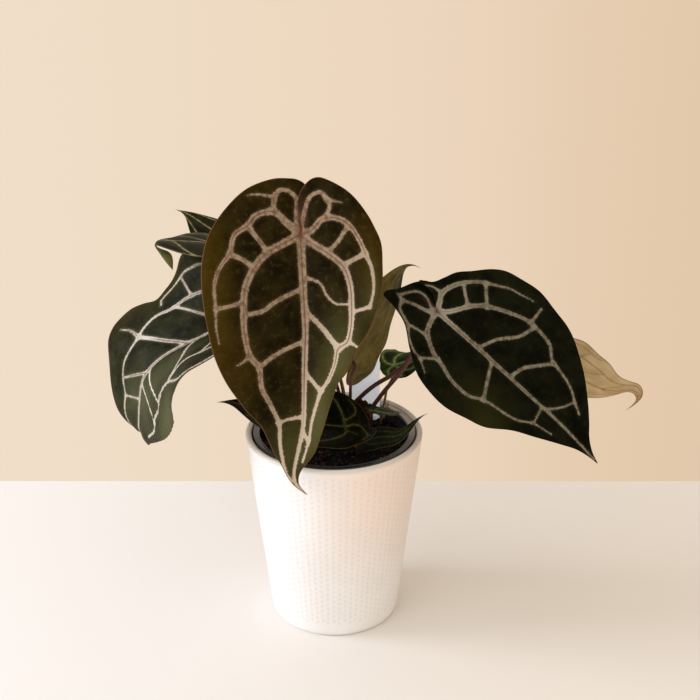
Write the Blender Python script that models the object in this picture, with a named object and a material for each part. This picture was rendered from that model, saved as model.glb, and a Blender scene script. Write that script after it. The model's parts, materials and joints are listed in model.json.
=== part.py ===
"""Potted anthurium: eleven veined heart leaves on their stalks, in a nursery pot inside a white planter.

Metres, +Z up. The table is z = 0 under the planter, the planter's axis is the Z axis, and the big
front leaf hangs towards -Y. The lists below are in millimetres and degrees.
"""
import math

import bpy
import numpy as np

MM = 0.001

PLANTER_HEIGHT = 155.0
PLANTER_TOP_RADIUS = 67.5
PLANTER_BASE_RADIUS = 49.0
PLANTER_WALL = 4.5
PLANTER_FLOOR = 6.0
PLANTER_BASE_ROUND = 3.0
LINER_TOP = 154.3
LINER_TOP_RADIUS = 61.2
LINER_RIM_RADIUS = 61.9
LINER_RIM_INNER = 56.7
LINER_BASE_RADIUS = 42.5
LINER_WALL = 1.2
FIT_GAP = 0.3
SOIL_TOP = 142.5
ROOT_DEPTH = 125.0
BLADE_THICKNESS = 0.8
CROWN_CENTRE = (21.5, 26.5)
CROWN_RADIUS = 4.4
CROWN_TOP = 162.0
TAG_CENTRE = (24.2, 42.2)
TAG_WIDTH = 22.4
TAG_THICKNESS = 0.8
TAG_BOTTOM = 131.0
TAG_TOP = 192.5

# A leaf's own plane: x across, y from the stalk joint (0, 0) to the tip. "right" is the +x half.
# aim: heading, rise and roll of the blade; pitch, sweep, fold and cup are stations along y / length.
LEAVES = {
    "front": dict(
        joint=(-23.7, 0.0, 312.3), aim=(-85.5, -62.0, -6.0), length=192.0, lap=2.0, rows=26, columns=5,
        right=[(0, 0), (1, -3), (0.6, -8), (-1.5, -15), (-4, -28), (-5, -37), (0, -41.3), (8, -42.2),
               (18, -41.7), (37, -34.6), (52.5, -21), (66, -1.5), (72, 18), (73, 38), (71.5, 59),
               (67, 85.6), (58, 105.6), (43, 126), (28, 147), (17.5, 161), (7.5, 171), (1.6, 181), (0, 192)],
        left=[(0, 0), (-1, -3), (-0.4, -8), (1.2, -14), (1, -25), (-2, -33), (-9, -40), (-15, -41.3),
              (-24, -37.5), (-37, -27.8), (-50, -9.4), (-57.5, 8), (-58, 25), (-56.5, 44.4), (-49, 64.8),
              (-36.5, 83.5), (-26, 104), (-18.6, 124.3), (-14, 142), (-12, 155), (-5.5, 169), (-2, 181),
              (0, 192)],
        pitch=[(-0.3, 8), (0, 5), (0.5, 0), (0.8, -5), (1, -2)],
        sweep=[(0, 0), (0.3, -1), (0.42, 4), (0.65, 2), (0.78, 14), (0.86, 14), (0.92, -10), (0.96, -45),
               (1, -55)],
        fold_right=[(-0.3, 4), (0, 6), (0.6, 8), (1, 22)],
        fold_left=[(-0.3, 14), (0, 18), (0.6, 20), (1, 22)],
        cup=[(-0.3, -10), (0.5, -12), (1, -8)], wave=(1.0, 4.0)),
    "right": dict(
        joint=(76.4, 10.0, 248.2), aim=(-20.0, -39.0, 40.0), length=166.0, lap=2.0, rows=24, columns=5,
        right=[(0, 0), (-1.5, -6), (-5, -13), (-8, -18.5), (-3, -23.5), (6.8, -32.7), (13.8, -37.8),
               (18, -37.5), (20, -26), (25, -11.6), (37, 3), (48.3, 20), (53, 37.3), (53, 52), (49, 68),
               (44, 82.5), (31, 99.7), (22, 116), (12, 133.5), (5, 146), (1.8, 156), (0, 166)],
        left=[(0, 0), (-4, -5), (-8, -12), (-8.6, -25), (-14.7, -16.6), (-23, -12.5), (-32, -8.7), (-43, 0),
              (-54, 9.7), (-61, 20), (-65.5, 38), (-66, 52), (-63, 69), (-57, 89), (-44, 109), (-30, 126),
              (-16, 140.7), (-9.5, 147), (-3.5, 156), (0, 166)],
        pitch=[(-0.3, 8), (0, 5), (0.5, 0), (0.8, -5), (1, -6)],
        sweep=[(0, 0), (1, 0)],
        fold_right=[(-0.3, 4), (0, 8), (0.6, 10), (1, 20)],
        fold_left=[(-0.3, 4), (0, 8), (0.6, 10), (1, 20)],
        cup=[(-0.3, -10), (0.5, -12), (1, -8)], wave=(0.8, 5.0)),
    "left": dict(
        joint=(-61.4, 24.0, 248.7), aim=(209.0, -38.0, -19.5), length=182.0, lap=2.0, rows=28, columns=5,
        right=[(0, 0), (2, -9), (6, -20), (15, -25), (29, -24), (46, -17), (61.5, -5), (68.5, 16),
               (69.5, 44), (62, 64), (57.5, 72.5), (64, 81), (69.5, 90), (68, 100), (62, 111), (52, 125),
               (38, 143), (24, 159), (10, 172), (0, 182)],
        left=[(0, 0), (-2, -8), (-6, -17), (-14, -21), (-25, -18), (-37, -7), (-50, 14), (-60.5, 36),
              (-66, 55), (-62, 66), (-58.5, 76), (-60, 88), (-58, 102), (-50, 120), (-36, 137), (-20, 154),
              (-7, 171), (0, 182)],
        pitch=[(-0.3, 4), (0, 4), (0.36, 0), (0.5, -17), (0.64, -53), (0.82, -58), (0.9, -95), (1, -185)],
        sweep=[(0, 0), (0.32, 26), (0.64, 3), (1, 3)],
        fold_right=[(-0.3, 5), (0, 26), (0.46, -5), (1, 15)],
        fold_left=[(-0.3, 42), (0.27, 44), (0.55, 14), (1, 10)],
        cup=[(-0.3, -10), (0.5, -12), (1, -8)], wave=(0.8, 5.0)),
    "back_left_high": dict(
        joint=(-56.3, 80.0, 262.4), aim=(157.2, 19.1, -4.0), length=85.6, lap=1.6, rows=14, columns=3,
        width=(30.0, 34.0), lobe=(20.0, 20.0),
        pitch=[(-0.3, 6), (0, 5), (0.5, 0), (0.8, -4), (1, -13)],
        sweep=[(0, 0), (0.4, 3), (0.75, 15), (1, 0)],
        fold_right=[(-0.3, 8), (0.5, 4), (1, 16)], fold_left=[(-0.3, 8), (0.5, -3), (1, 16)],
        cup=[(-0.3, -10), (1, -10)], wave=(0.8, 3.0)),
    "back_left_low": dict(
        joint=(-54.5, 55.0, 278.6), aim=(197.9, 12.4, 16.1), length=108.4, lap=1.6, rows=18, columns=3,
        width=(36.0, 36.0), lobe=(26.0, 26.0), point=(0.3, 0.5),
        pitch=[(-0.3, 8), (0, 6), (0.5, -2), (0.72, -6), (0.82, -132), (1, -134)],
        sweep=[(0, 0), (0.4, 0), (0.75, 20), (1, -12)],
        fold_right=[(-0.3, 8), (0.5, 15), (0.74, 4), (1, 0)],
        fold_left=[(-0.3, 8), (0, 6), (0.5, -16), (0.8, -6), (0.9, -40), (1, -60)],
        cup=[(-0.3, -10), (1, -10)], wave=(0.8, 3.0)),
    "back_centre": dict(
        joint=(14.1, 12.0, 206.4), aim=(38.3, 55.6, -77.7), length=97.8, lap=1.6, rows=16, columns=3,
        width=(36.0, 37.0), lobe=(18.0, 18.0),
        pitch=[(-0.3, 6), (0, 5), (0.5, 0), (0.8, -28), (1, -100)],
        sweep=[(0, 0), (0.4, -8), (0.75, 18), (1, 0)],
        fold_right=[(-0.3, 8), (0.5, 8), (1, 16)], fold_left=[(-0.3, 8), (0.5, 10), (1, 16)],
        cup=[(-0.3, -10), (1, -10)], wave=(0.8, 3.0)),
    "young": dict(
        joint=(47.0, 57.0, 182.4), aim=(1.7, 12.6, 21.6), length=27.0, lap=1.6, rows=10, columns=3,
        width=(15.0, 21.0), lobe=(12.0, 12.0), notch=(0.02, 0.06),
        pitch=[(-0.3, 6), (0, 5), (0.5, 0), (0.8, 0), (1, -8)],
        sweep=[(0, 0), (0.4, -12), (0.75, -27), (1, 0)],
        fold_right=[(-0.3, 8), (0.5, -3), (1, 16)], fold_left=[(-0.3, 8), (0.5, -16), (1, 16)],
        cup=[(-0.3, -10), (1, -10)], wave=(0.4, 3.0)),
    "back_right": dict(
        joint=(143.2, 55.0, 199.1), aim=(0.1, -30.8, -44.4), length=129.3, lap=1.6, rows=20, columns=4,
        width=(44.0, 40.0), lobe=(30.0, 30.0),
        pitch=[(-0.3, 6), (0, 5), (0.5, 0), (0.78, 33), (0.9, -103), (1, -128)],
        sweep=[(0, 0), (0.4, 0), (0.75, 7), (1, 0)],
        fold_right=[(-0.3, 8), (0.5, 16), (1, 16)], fold_left=[(-0.3, 8), (0.5, -3), (1, 16)],
        cup=[(-0.3, -10), (1, -10)], wave=(1.0, 4.0)),
    "low_front": dict(
        joint=(8.4, -18.0, 166.1), aim=(177.0, -1.5, -20.0), length=103.0, lap=1.6, rows=16, columns=4,
        width=(29.0, 34.0), lobe=(18.5, 23.5), notch=(0.12, 0.12), bulge=(0.5, 0.73),
        pitch=[(-0.3, 6), (0, 5), (0.5, 0), (0.8, 0), (1, -8)],
        sweep=[(0, 0), (0.4, 16), (0.75, 24), (1, 0)],
        fold_right=[(-0.3, 26), (0.5, 22), (1, 8)], fold_left=[(-0.3, 24), (0.5, 22), (1, 12)],
        cup=[(-0.3, -10), (1, -8)], wave=(0.8, 3.0)),
    "low_right": dict(
        joint=(22.5, -16.0, 152.5), aim=(-22.6, 33.0, 35.8), length=64.0, lap=1.6, rows=12, columns=3,
        width=(10.5, 8.5), lobe=(9.0, 9.0),
        pitch=[(-0.3, 6), (0, 5), (0.5, 0), (0.8, 0), (1, -1)],
        sweep=[(0, 0), (0.4, 23), (0.75, -30), (1, 0)],
        fold_right=[(-0.3, 8), (0.5, 8), (1, 16)], fold_left=[(-0.3, 8), (0.5, 8), (1, 16)],
        cup=[(-0.3, -10), (1, -10)], wave=(0.3, 3.0)),
    "low_back": dict(
        joint=(28.5, 9.0, 166.0), aim=(10.0, -14.0, -7.9), length=27.5, lap=1.6, rows=8, columns=3,
        width=(9.5, 8.5), lobe=(5.0, 5.0),
        pitch=[(-0.3, 6), (0, 5), (0.5, 0), (0.8, 5), (1, -17)],
        sweep=[(0, 0), (0.4, 7), (0.75, -40), (1, 0)],
        fold_right=[(-0.3, 8), (0.5, 8), (1, 16)], fold_left=[(-0.3, 8), (0.5, 17), (1, 16)],
        cup=[(-0.3, -10), (1, -10)], wave=(0.4, 3.0)),
}

# A heart's usual shares, right and left: where its lobe ends, how round it is, how wide the tip stays.
HEART_SHARES = {"notch": (0.28, 0.28), "bulge": (0.73, 0.73), "point": (0.06, 0.06)}

# Each stalk: points from its root up to the knuckle; the last bend under the blade is added in code.
# radius is at the root and at the top, knuckle is the swollen end, hook is the bend's reach.
STALKS = {
    "front": dict(
        points=[(13.2, 23.4, 125), (11, 22.8, 142), (1, 22.5, 170), (-14, 23.5, 222), (-23.5, 22, 280)],
        radius=(1.7, 1.35), knuckle=1.9, hook=15.0),
    "right": dict(
        points=[(26.2, 21.6, 125), (26.2, 21.6, 145), (27.6, 21.4, 159), (35.6, 21, 173), (53.6, 18.5, 199),
                (68.5, 20, 229)],
        radius=(1.7, 1.65), knuckle=1.9, hook=13.0),
    "left": dict(
        points=[(9, 27, 125), (7, 27.2, 146), (-8, 31, 180), (-35, 37, 218), (-53, 37, 236)],
        radius=(1.6, 1.3), knuckle=1.8, hook=11.0),
    "back_left_high": dict(
        points=[(9, 38, 125), (7, 40, 150), (-8, 52, 196), (-34, 70, 236), (-54, 79, 250)],
        radius=(1.5, 1.2), knuckle=1.6, hook=9.0),
    "back_left_low": dict(
        points=[(9.4, 32.6, 125), (8.6, 33.2, 150), (4.5, 36.5, 180), (-22, 48, 234), (-48, 54, 264)],
        radius=(1.5, 1.2), knuckle=1.6, hook=9.0),
    "back_centre": dict(
        points=[(15.2, 18.6, 125), (14.4, 17.2, 146), (12.6, 12.5, 166), (12.4, 8, 184), (13.2, 8.6, 197)],
        radius=(1.4, 1.1), knuckle=1.3, hook=4.0, lean=50.0),
    "young": dict(
        points=[(36.2, 34, 125), (36.6, 34.8, 146), (39, 41, 157.5), (41.5, 48, 167)],
        radius=(1.1, 0.9), knuckle=1.0, hook=6.0),
    "back_right": dict(
        points=[(14.6, 32, 125), (14.2, 32, 150), (14.8, 32, 159.4), (21.4, 32.6, 167.4), (31.4, 34, 175.8),
                (46.2, 36, 184.6), (60, 38.5, 195.5), (92, 43, 206), (126, 45, 196)],
        radius=(1.8, 1.5), knuckle=1.8, hook=11.0),
    "low_front": dict(
        points=[(19.8, 17.2, 125), (19.2, 14.5, 143), (14, -4, 152)],
        radius=(1.3, 1.1), knuckle=1.4, hook=7.0),
    "low_right": dict(
        points=[(24.6, 17, 125), (25, 12, 142), (26.5, -4, 146)],
        radius=(1.0, 0.9), knuckle=1.1, hook=4.0),
    "low_back": dict(
        points=[(29.5, 17.5, 125), (29, 15, 146)],
        radius=(1.0, 0.9), knuckle=1.1, hook=5.0),
}

COLOURS = {
    "planter": (0.82, 0.80, 0.78, 0.32),
    "liner": (0.020, 0.021, 0.023, 0.55),
    "soil": (0.030, 0.020, 0.013, 0.95),
    "crown": (0.075, 0.035, 0.020, 0.75),
    "tag": (0.62, 0.68, 0.76, 0.45),
    "stalk": (0.055, 0.016, 0.014, 0.5),
    "green_stalk": (0.11, 0.12, 0.035, 0.5),
    "dark_leaf": (0.022, 0.032, 0.012, 0.5),
    "olive_leaf": (0.045, 0.042, 0.012, 0.5),
    "grey_leaf": (0.040, 0.055, 0.040, 0.5),
    "young_leaf": (0.075, 0.15, 0.035, 0.45),
    "tan_leaf": (0.26, 0.20, 0.10, 0.6),
}
LEAF_COLOURS = {"front": "olive_leaf", "left": "grey_leaf", "young": "young_leaf", "back_right": "tan_leaf"}
STALK_COLOURS = {"young": "green_stalk", "back_left_low": "green_stalk"}


def blend(low, high, start, end, at):
    """Straight mix of two points: start at low, end at high."""
    share = (at - low) / (high - low)
    return (1 - share) * start + share * end


def smooth_path(points, count):
    """Evenly spaced points on a centripetal Catmull-Rom curve through the given ones."""
    given = np.array(points, float)
    ends = np.vstack([2 * given[0] - given[1], given, 2 * given[-1] - given[-2]])
    steps = np.sqrt(np.linalg.norm(np.diff(ends, axis=0), axis=1))
    knots = np.concatenate([[0.0], np.cumsum(steps)])
    runs = []
    for i in range(1, len(ends) - 2):
        t = np.linspace(knots[i], knots[i + 1], 24)[:, None]
        k = knots[i - 1:i + 3]
        p = ends[i - 1:i + 3]
        a = [blend(k[j], k[j + 1], p[j], p[j + 1], t) for j in range(3)]
        b = [blend(k[j], k[j + 2], a[j], a[j + 1], t) for j in range(2)]
        runs.append(blend(k[1], k[2], b[0], b[1], t))
    return even_path(np.vstack(runs), count)


def even_path(path, count):
    """The same path at evenly spaced points."""
    gone = np.concatenate([[0.0], np.cumsum(np.linalg.norm(np.diff(path, axis=0), axis=1))])
    at = np.linspace(0.0, gone[-1], count)
    return np.stack([np.interp(at, gone, path[:, k]) for k in range(path.shape[1])], axis=-1)


def bezier(p0, p1, p2, p3, count):
    """Points on a cubic Bezier curve."""
    t = np.linspace(0.0, 1.0, count)[:, None]
    p0, p1, p2, p3 = (np.array(p, float) for p in (p0, p1, p2, p3))
    return (1 - t) ** 3 * p0 + 3 * (1 - t) ** 2 * t * p1 + 3 * (1 - t) * t ** 2 * p2 + t ** 3 * p3


def heart_side(length, width, lobe, notch, bulge, point):
    """One half of a heart-shaped blade: lobe, widest point and drawn-out tip.

    notch is how far out the lobe ends, bulge how round it is and point how wide the tip stays, each as a
    share of the width.
    """
    apex = (notch * width, -lobe)
    wide = (width, 0.16 * length)
    sinus = bezier((0, 0), (0, -0.35 * lobe), (0.25 * notch * width, -lobe), apex, 24)
    round_lobe = bezier(apex, (bulge * width, -lobe), (width, wide[1] - 0.55 * (lobe + wide[1])), wide, 40)
    ahead = length - wide[1]
    tip = bezier(wide, (width, wide[1] + 0.42 * ahead), (point * width, wide[1] + 0.75 * ahead), (0, length), 60)
    return np.vstack([sinus, round_lobe[1:], tip[1:]])


def stations(pairs, at):
    """Smooth curve through (place, value) pairs, with no overshoot."""
    x, y = np.array(pairs, float).T
    slope = np.diff(y) / np.diff(x)
    m = np.zeros_like(y)
    same = slope[:-1] * slope[1:] > 0
    m[1:-1] = np.where(same, 2 * slope[:-1] * slope[1:] / np.where(same, slope[:-1] + slope[1:], 1.0), 0.0)
    m[0], m[-1] = slope[0], slope[-1]
    v = np.clip(at, x[0], x[-1])
    i = np.clip(np.searchsorted(x, v, side="right") - 1, 0, len(x) - 2)
    h = x[i + 1] - x[i]
    t = (v - x[i]) / h
    return ((2 * t ** 3 - 3 * t ** 2 + 1) * y[i] + (t ** 3 - 2 * t ** 2 + t) * h * m[i]
            + (3 * t ** 2 - 2 * t ** 3) * y[i + 1] + (t ** 3 - t ** 2) * h * m[i + 1])


def blade_axes(aim):
    """Across, along and upper-face directions of a blade from its heading, rise and roll."""
    heading, rise, roll = np.radians(aim)
    along = np.array([math.cos(rise) * math.cos(heading), math.cos(rise) * math.sin(heading), math.sin(rise)])
    upright = np.array([0.0, 0.0, 1.0]) - along[2] * along
    upright /= np.linalg.norm(upright)
    face = math.cos(roll) * upright + math.sin(roll) * np.cross(along, upright)
    return np.cross(along, face), along, face


def blade_point(leaf, x, y, side):
    """Place points of a blade's flat outline on its bent surface, in millimetres."""
    length = leaf["length"]
    place = np.linspace(-0.6, 1.05, 700)
    pitch = np.radians(stations(leaf["pitch"], place))
    sweep = np.radians(stations(leaf["sweep"], place))
    forward = np.stack([np.sin(sweep) * np.cos(pitch), np.cos(sweep) * np.cos(pitch), np.sin(pitch)], axis=-1)
    step = np.diff(place)[:, None] * length
    spine = np.concatenate([np.zeros((1, 3)), np.cumsum(0.5 * (forward[1:] + forward[:-1]) * step, axis=0)])
    spine -= np.array([np.interp(0.0, place, spine[:, k]) for k in range(3)])
    across = np.stack([np.cos(sweep), -np.sin(sweep), 0 * sweep], axis=-1)
    upper = np.cross(across, forward)
    v = y / length
    frames = [np.stack([np.interp(v, place, a[:, k]) for k in range(3)], axis=-1) for a in (spine, across, upper)]
    centre, out, up = frames
    out /= np.linalg.norm(out, axis=-1, keepdims=True)
    up /= np.linalg.norm(up, axis=-1, keepdims=True)
    away = x * side
    width = leaf["full_width"]
    fold = np.radians(stations(leaf["fold_right" if side > 0 else "fold_left"], v))
    bend = np.radians(stations(leaf["cup"], v)) / width
    reach = (np.sin(fold + bend * away) - np.sin(fold)) / bend
    lift = (np.cos(fold) - np.cos(fold + bend * away)) / bend
    ramp = np.clip(-y / 10.0, 0.0, 1.0)
    if side < 0:
        lift = lift + leaf["lap"] * ramp ** 2 * (3 - 2 * ramp)
    height, count = leaf["wave"]
    lift = lift + height * (away / width) ** 2 * np.sin(2 * math.pi * count * v + side)
    local = centre + out * (reach * side)[..., None] + up * lift[..., None]
    ex, ey, ez = blade_axes(leaf["aim"])
    return np.array(leaf["joint"]) + local[..., :1] * ex + local[..., 1:2] * ey + local[..., 2:] * ez


def half_outline(leaf, side):
    """Inner edge (sinus, then midrib) and outer edge (margin) of one half of a blade."""
    if "width" in leaf:
        half = 0 if side > 0 else 1
        shares = [leaf.get(name, usual)[half] for name, usual in HEART_SHARES.items()]
        path = heart_side(leaf["length"], leaf["width"][half], leaf["lobe"][half], *shares)
        path[:, 0] *= side
    else:
        path = smooth_path(leaf["right" if side > 0 else "left"], 400)
    split = int(np.argmin(path[:, 1]))
    return path[:split + 1][::-1], path[split:]


def sinus_share(leaf):
    """Part of the inner edge that lies behind the joint, the same for both halves."""
    lengths = [np.linalg.norm(np.diff(half_outline(leaf, side)[0], axis=0), axis=1).sum() for side in (1, -1)]
    return sum(lengths) / (sum(lengths) + 2 * leaf["length"])


def half_grid(leaf, side):
    """Flat grid of one half: rows run from the lobe's end to the tip, columns from inner to outer edge."""
    sinus, margin = half_outline(leaf, side)
    rows, columns = leaf["rows"], leaf["columns"]
    share = sinus_share(leaf)
    first = max(3, round(rows * share))
    inner = even_path(sinus, first + 1)
    midrib = np.stack([np.zeros(rows - first), np.linspace(0, leaf["length"], rows - first + 1)[1:]], axis=-1)
    inner = np.vstack([inner, midrib])
    margin = even_path(margin, 800)
    place = np.concatenate([np.linspace(0, share, first + 1), np.linspace(share, 1, rows - first + 1)[1:]])
    outer = np.stack([np.interp(place, np.linspace(0, 1, 800), margin[:, k]) for k in range(2)], axis=-1)
    s = (np.linspace(0, 1, columns + 1) ** 0.9)[None, :, None]
    return inner[:, None] * (1 - s) + outer[:, None] * s


def blade_sheet(leaf):
    """Welded vertices and triangles of a blade's middle surface, upper face outward."""
    points, faces = [], []
    start = 0
    for side in (1, -1):
        grid = half_grid(leaf, side)
        rows, columns = grid.shape[:2]
        points.append(blade_point(leaf, grid[..., 0], grid[..., 1], side).reshape(-1, 3))
        index = start + np.arange(rows * columns).reshape(rows, columns)
        a, b, c, d = index[:-1, :-1], index[1:, :-1], index[1:, 1:], index[:-1, 1:]
        pair = [np.stack([a, c, b], -1), np.stack([a, d, c], -1)]
        faces += [(p if side > 0 else p[..., ::-1]).reshape(-1, 3) for p in pair]
        start += rows * columns
    points = np.vstack(points)
    faces = np.vstack(faces)
    _, first, where = np.unique(np.round(points, 4), axis=0, return_index=True, return_inverse=True)
    faces = where.reshape(-1)[faces]
    kept = (faces[:, 0] != faces[:, 1]) & (faces[:, 1] != faces[:, 2]) & (faces[:, 2] != faces[:, 0])
    return points[first], faces[kept]


def sheet_to_solid(points, faces, thickness):
    """Close a sheet into a thin body: both faces split alike, and a wall round its edge."""
    corner = points[faces]
    normal = np.cross(corner[:, 1] - corner[:, 0], corner[:, 2] - corner[:, 0])
    total = np.zeros_like(points)
    for k in range(3):
        np.add.at(total, faces[:, k], normal)
    total /= np.linalg.norm(total, axis=1, keepdims=True)
    count = len(points)
    solid = np.vstack([points + 0.5 * thickness * total, points - 0.5 * thickness * total])
    edges = np.vstack([faces[:, [0, 1]], faces[:, [1, 2]], faces[:, [2, 0]]])
    known = {(int(a), int(b)) for a, b in edges}
    rim = np.array([(a, b) for a, b in known if (b, a) not in known])
    wall = np.vstack([np.stack([rim[:, 0], rim[:, 0] + count, rim[:, 1] + count], -1),
                      np.stack([rim[:, 0], rim[:, 1] + count, rim[:, 1]], -1)])
    return solid, np.vstack([faces, faces[:, ::-1] + count, wall])


def tube(path, radii, sides, end_direction=None, extra=0.0):
    """Closed round tube along a path; its last ring faces end_direction."""
    ahead = np.gradient(path, axis=0)
    if end_direction is not None:
        ahead[-1] = end_direction
    ahead /= np.linalg.norm(ahead, axis=1, keepdims=True)
    across = np.cross(ahead[0], (0.0, 1.0, 0.0))
    across /= np.linalg.norm(across)
    rings = []
    for centre, direction, radius in zip(path, ahead, radii):
        across = across - direction * (across @ direction)
        across /= np.linalg.norm(across)
        other = np.cross(direction, across)
        turn = np.linspace(0, 2 * math.pi, sides, endpoint=False)[:, None]
        rings.append(centre + (radius + extra) * (np.cos(turn) * across + np.sin(turn) * other))
    points = np.vstack(rings + [path[:1], path[-1:]])
    faces = []
    index = np.arange(len(path) * sides).reshape(len(path), sides)
    follow = np.roll(index, -1, axis=1)
    a, b, c, d = index[:-1], follow[:-1], follow[1:], index[1:]
    faces += [np.stack([a, b, c], -1).reshape(-1, 3), np.stack([a, c, d], -1).reshape(-1, 3)]
    low, high = len(points) - 2, len(points) - 1
    faces.append(np.stack([follow[0], index[0], np.full(sides, low)], -1))
    faces.append(np.stack([index[-1], follow[-1], np.full(sides, high)], -1))
    return points, np.vstack(faces)


def turned(profile, sides):
    """Closed body turned about the Z axis from a loop of (radius, height) points."""
    profile = np.array(profile, float)
    turn = np.linspace(0, 2 * math.pi, sides, endpoint=False)
    ring = np.stack([np.cos(turn), np.sin(turn)], -1)
    points, index = [], []
    for radius, height in profile:
        if radius < 1e-6:
            index.append(np.full(sides, len(points)))
            points.append((0.0, 0.0, height))
        else:
            index.append(len(points) + np.arange(sides))
            points += [(radius * x, radius * y, height) for x, y in ring]
    faces = []
    closed = profile[0][0] > 1e-6
    order = list(range(len(profile))) + ([0] if closed else [])
    for i, j in zip(order[:-1], order[1:]):
        a, b = index[i], np.roll(index[i], -1)
        d, c = index[j], np.roll(index[j], -1)
        faces += [np.stack([a, b, c], -1), np.stack([a, c, d], -1)]
    faces = np.vstack(faces)
    kept = (faces[:, 0] != faces[:, 1]) & (faces[:, 1] != faces[:, 2]) & (faces[:, 2] != faces[:, 0])
    return np.array(points), faces[kept]


def make_object(name, points, faces, colour, smooth=False):
    """A mesh object in metres with its own Principled material."""
    mesh = bpy.data.meshes.new(name)
    mesh.from_pydata((np.asarray(points) * MM).tolist(), [], np.asarray(faces).tolist())
    mesh.validate()
    mesh.update()
    if smooth:
        mesh.polygons.foreach_set("use_smooth", [True] * len(mesh.polygons))
    body = bpy.data.objects.new(name, mesh)
    bpy.context.scene.collection.objects.link(body)
    material = bpy.data.materials.new(name + "_look")
    material.use_nodes = True
    shader = material.node_tree.nodes["Principled BSDF"]
    red, green, blue, rough = COLOURS[colour]
    shader.inputs["Base Color"].default_value = (red, green, blue, 1.0)
    shader.inputs["Roughness"].default_value = rough
    shader.inputs["Metallic"].default_value = 0.0
    mesh.materials.append(material)
    return body


def planter_profile():
    """Loop of the planter's wall: outside from the base up, round lip, inside down to the floor."""
    def outer(height):
        return PLANTER_BASE_RADIUS + (PLANTER_TOP_RADIUS - PLANTER_BASE_RADIUS) * height / PLANTER_HEIGHT

    loop = [(0.0, 0.0)]
    for degrees in (0, 30, 60, 90):
        angle = math.radians(degrees)
        loop.append((PLANTER_BASE_RADIUS - PLANTER_BASE_ROUND + PLANTER_BASE_ROUND * math.sin(angle),
                     PLANTER_BASE_ROUND - PLANTER_BASE_ROUND * math.cos(angle)))
    lip = PLANTER_WALL / 2
    loop += [(outer(h), h) for h in (50.0, 100.0, PLANTER_HEIGHT - lip)]
    centre = outer(PLANTER_HEIGHT - lip) - lip
    for degrees in (35, 70, 110, 145):
        angle = math.radians(degrees)
        loop.append((centre + lip * math.cos(angle), PLANTER_HEIGHT - lip + lip * math.sin(angle)))
    loop += [(outer(h) - PLANTER_WALL, h) for h in (PLANTER_HEIGHT - lip, 80.0, PLANTER_FLOOR + 2.0)]
    loop += [(outer(PLANTER_FLOOR) - PLANTER_WALL - 2.0, PLANTER_FLOOR), (0.0, PLANTER_FLOOR)]
    return loop


def liner_outer(height):
    """Outside radius of the nursery pot at a height."""
    low = PLANTER_FLOOR + 2.0
    return LINER_BASE_RADIUS + (LINER_TOP_RADIUS - LINER_BASE_RADIUS) * (height - low) / (LINER_TOP - low)


def liner_profile():
    """Loop of the thin nursery pot with a broad flat rim."""
    low = PLANTER_FLOOR + FIT_GAP
    loop = [(0.0, low), (LINER_BASE_RADIUS - 2.5, low), (LINER_BASE_RADIUS, low + 2.5)]
    loop += [(liner_outer(h) - 0.9, h) for h in (30.0, 80.0, LINER_TOP - 8.0)]
    loop += [(liner_outer(LINER_TOP - 8.0), LINER_TOP - 7.0), (LINER_RIM_RADIUS - 0.4, LINER_TOP - 5.6),
             (LINER_RIM_RADIUS, LINER_TOP - 5.0), (LINER_RIM_RADIUS, LINER_TOP - 0.6),
             (LINER_RIM_RADIUS - 0.5, LINER_TOP), (LINER_RIM_INNER + 0.5, LINER_TOP),
             (LINER_RIM_INNER, LINER_TOP - 0.6), (LINER_RIM_INNER, LINER_TOP - 1.6)]
    loop += [(liner_outer(h) - 0.9 - LINER_WALL, h) for h in (LINER_TOP - 8.0, 80.0, 30.0)]
    loop += [(LINER_BASE_RADIUS - LINER_WALL, low + 3.5), (LINER_BASE_RADIUS - 3.0, low + LINER_WALL)]
    loop.append((0.0, low + LINER_WALL))
    return loop


def soil_body():
    """Soil filling the nursery pot, with a chunky bark surface."""
    low = PLANTER_FLOOR + FIT_GAP + LINER_WALL + FIT_GAP
    profile = [(0.0, low), (LINER_BASE_RADIUS - 5.0, low)]
    profile += [(liner_outer(h) - 0.9 - LINER_WALL - FIT_GAP - 0.3, h) for h in (30.0, 80.0, SOIL_TOP - 1.0)]
    edge = profile[-1][0]
    profile += [(edge * k, SOIL_TOP) for k in (0.97, 0.88, 0.78, 0.68, 0.58, 0.48, 0.38, 0.28, 0.18, 0.09)]
    profile.append((0.0, SOIL_TOP))
    points, faces = turned(profile, 40)
    top = points[:, 2] > SOIL_TOP - 0.5
    x, y = points[top, 0], points[top, 1]
    bump = np.sin(0.83 * x + 1.1) * np.sin(0.71 * y + 0.4) + 0.6 * np.sin(1.31 * x - 0.9 * y)
    points[top, 2] += 0.7 * bump - 0.4
    return points, faces


def stalk_path(name):
    """Centre line, radii and end direction of a stalk, from its root to the blade's underside."""
    stalk, leaf = STALKS[name], LEAVES[name]
    face, along = blade_at_joint(leaf)
    lean = math.radians(stalk.get("lean", 0.0))
    end = np.array(leaf["joint"]) - face * (BLADE_THICKNESS / 2 + FIT_GAP + stalk["knuckle"] * math.sin(lean))
    face = math.cos(lean) * face + math.sin(lean) * along
    knee = end - face * stalk["hook"] * 0.45
    lower = end - face * stalk["hook"]
    path = smooth_path(list(stalk["points"]) + [lower, knee, end], 60)
    gone = np.linalg.norm(path - path[-1], axis=1)
    low, high = stalk["radius"]
    radii = np.linspace(low, high, len(path))
    near = np.clip(1.0 - gone / (5.0 + stalk["hook"] * 0.4), 0.0, 1.0)
    radii = radii + (stalk["knuckle"] - radii) * np.sin(np.minimum(near * 1.6, 1.0) * math.pi / 2) ** 2
    return path, radii, face


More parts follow.
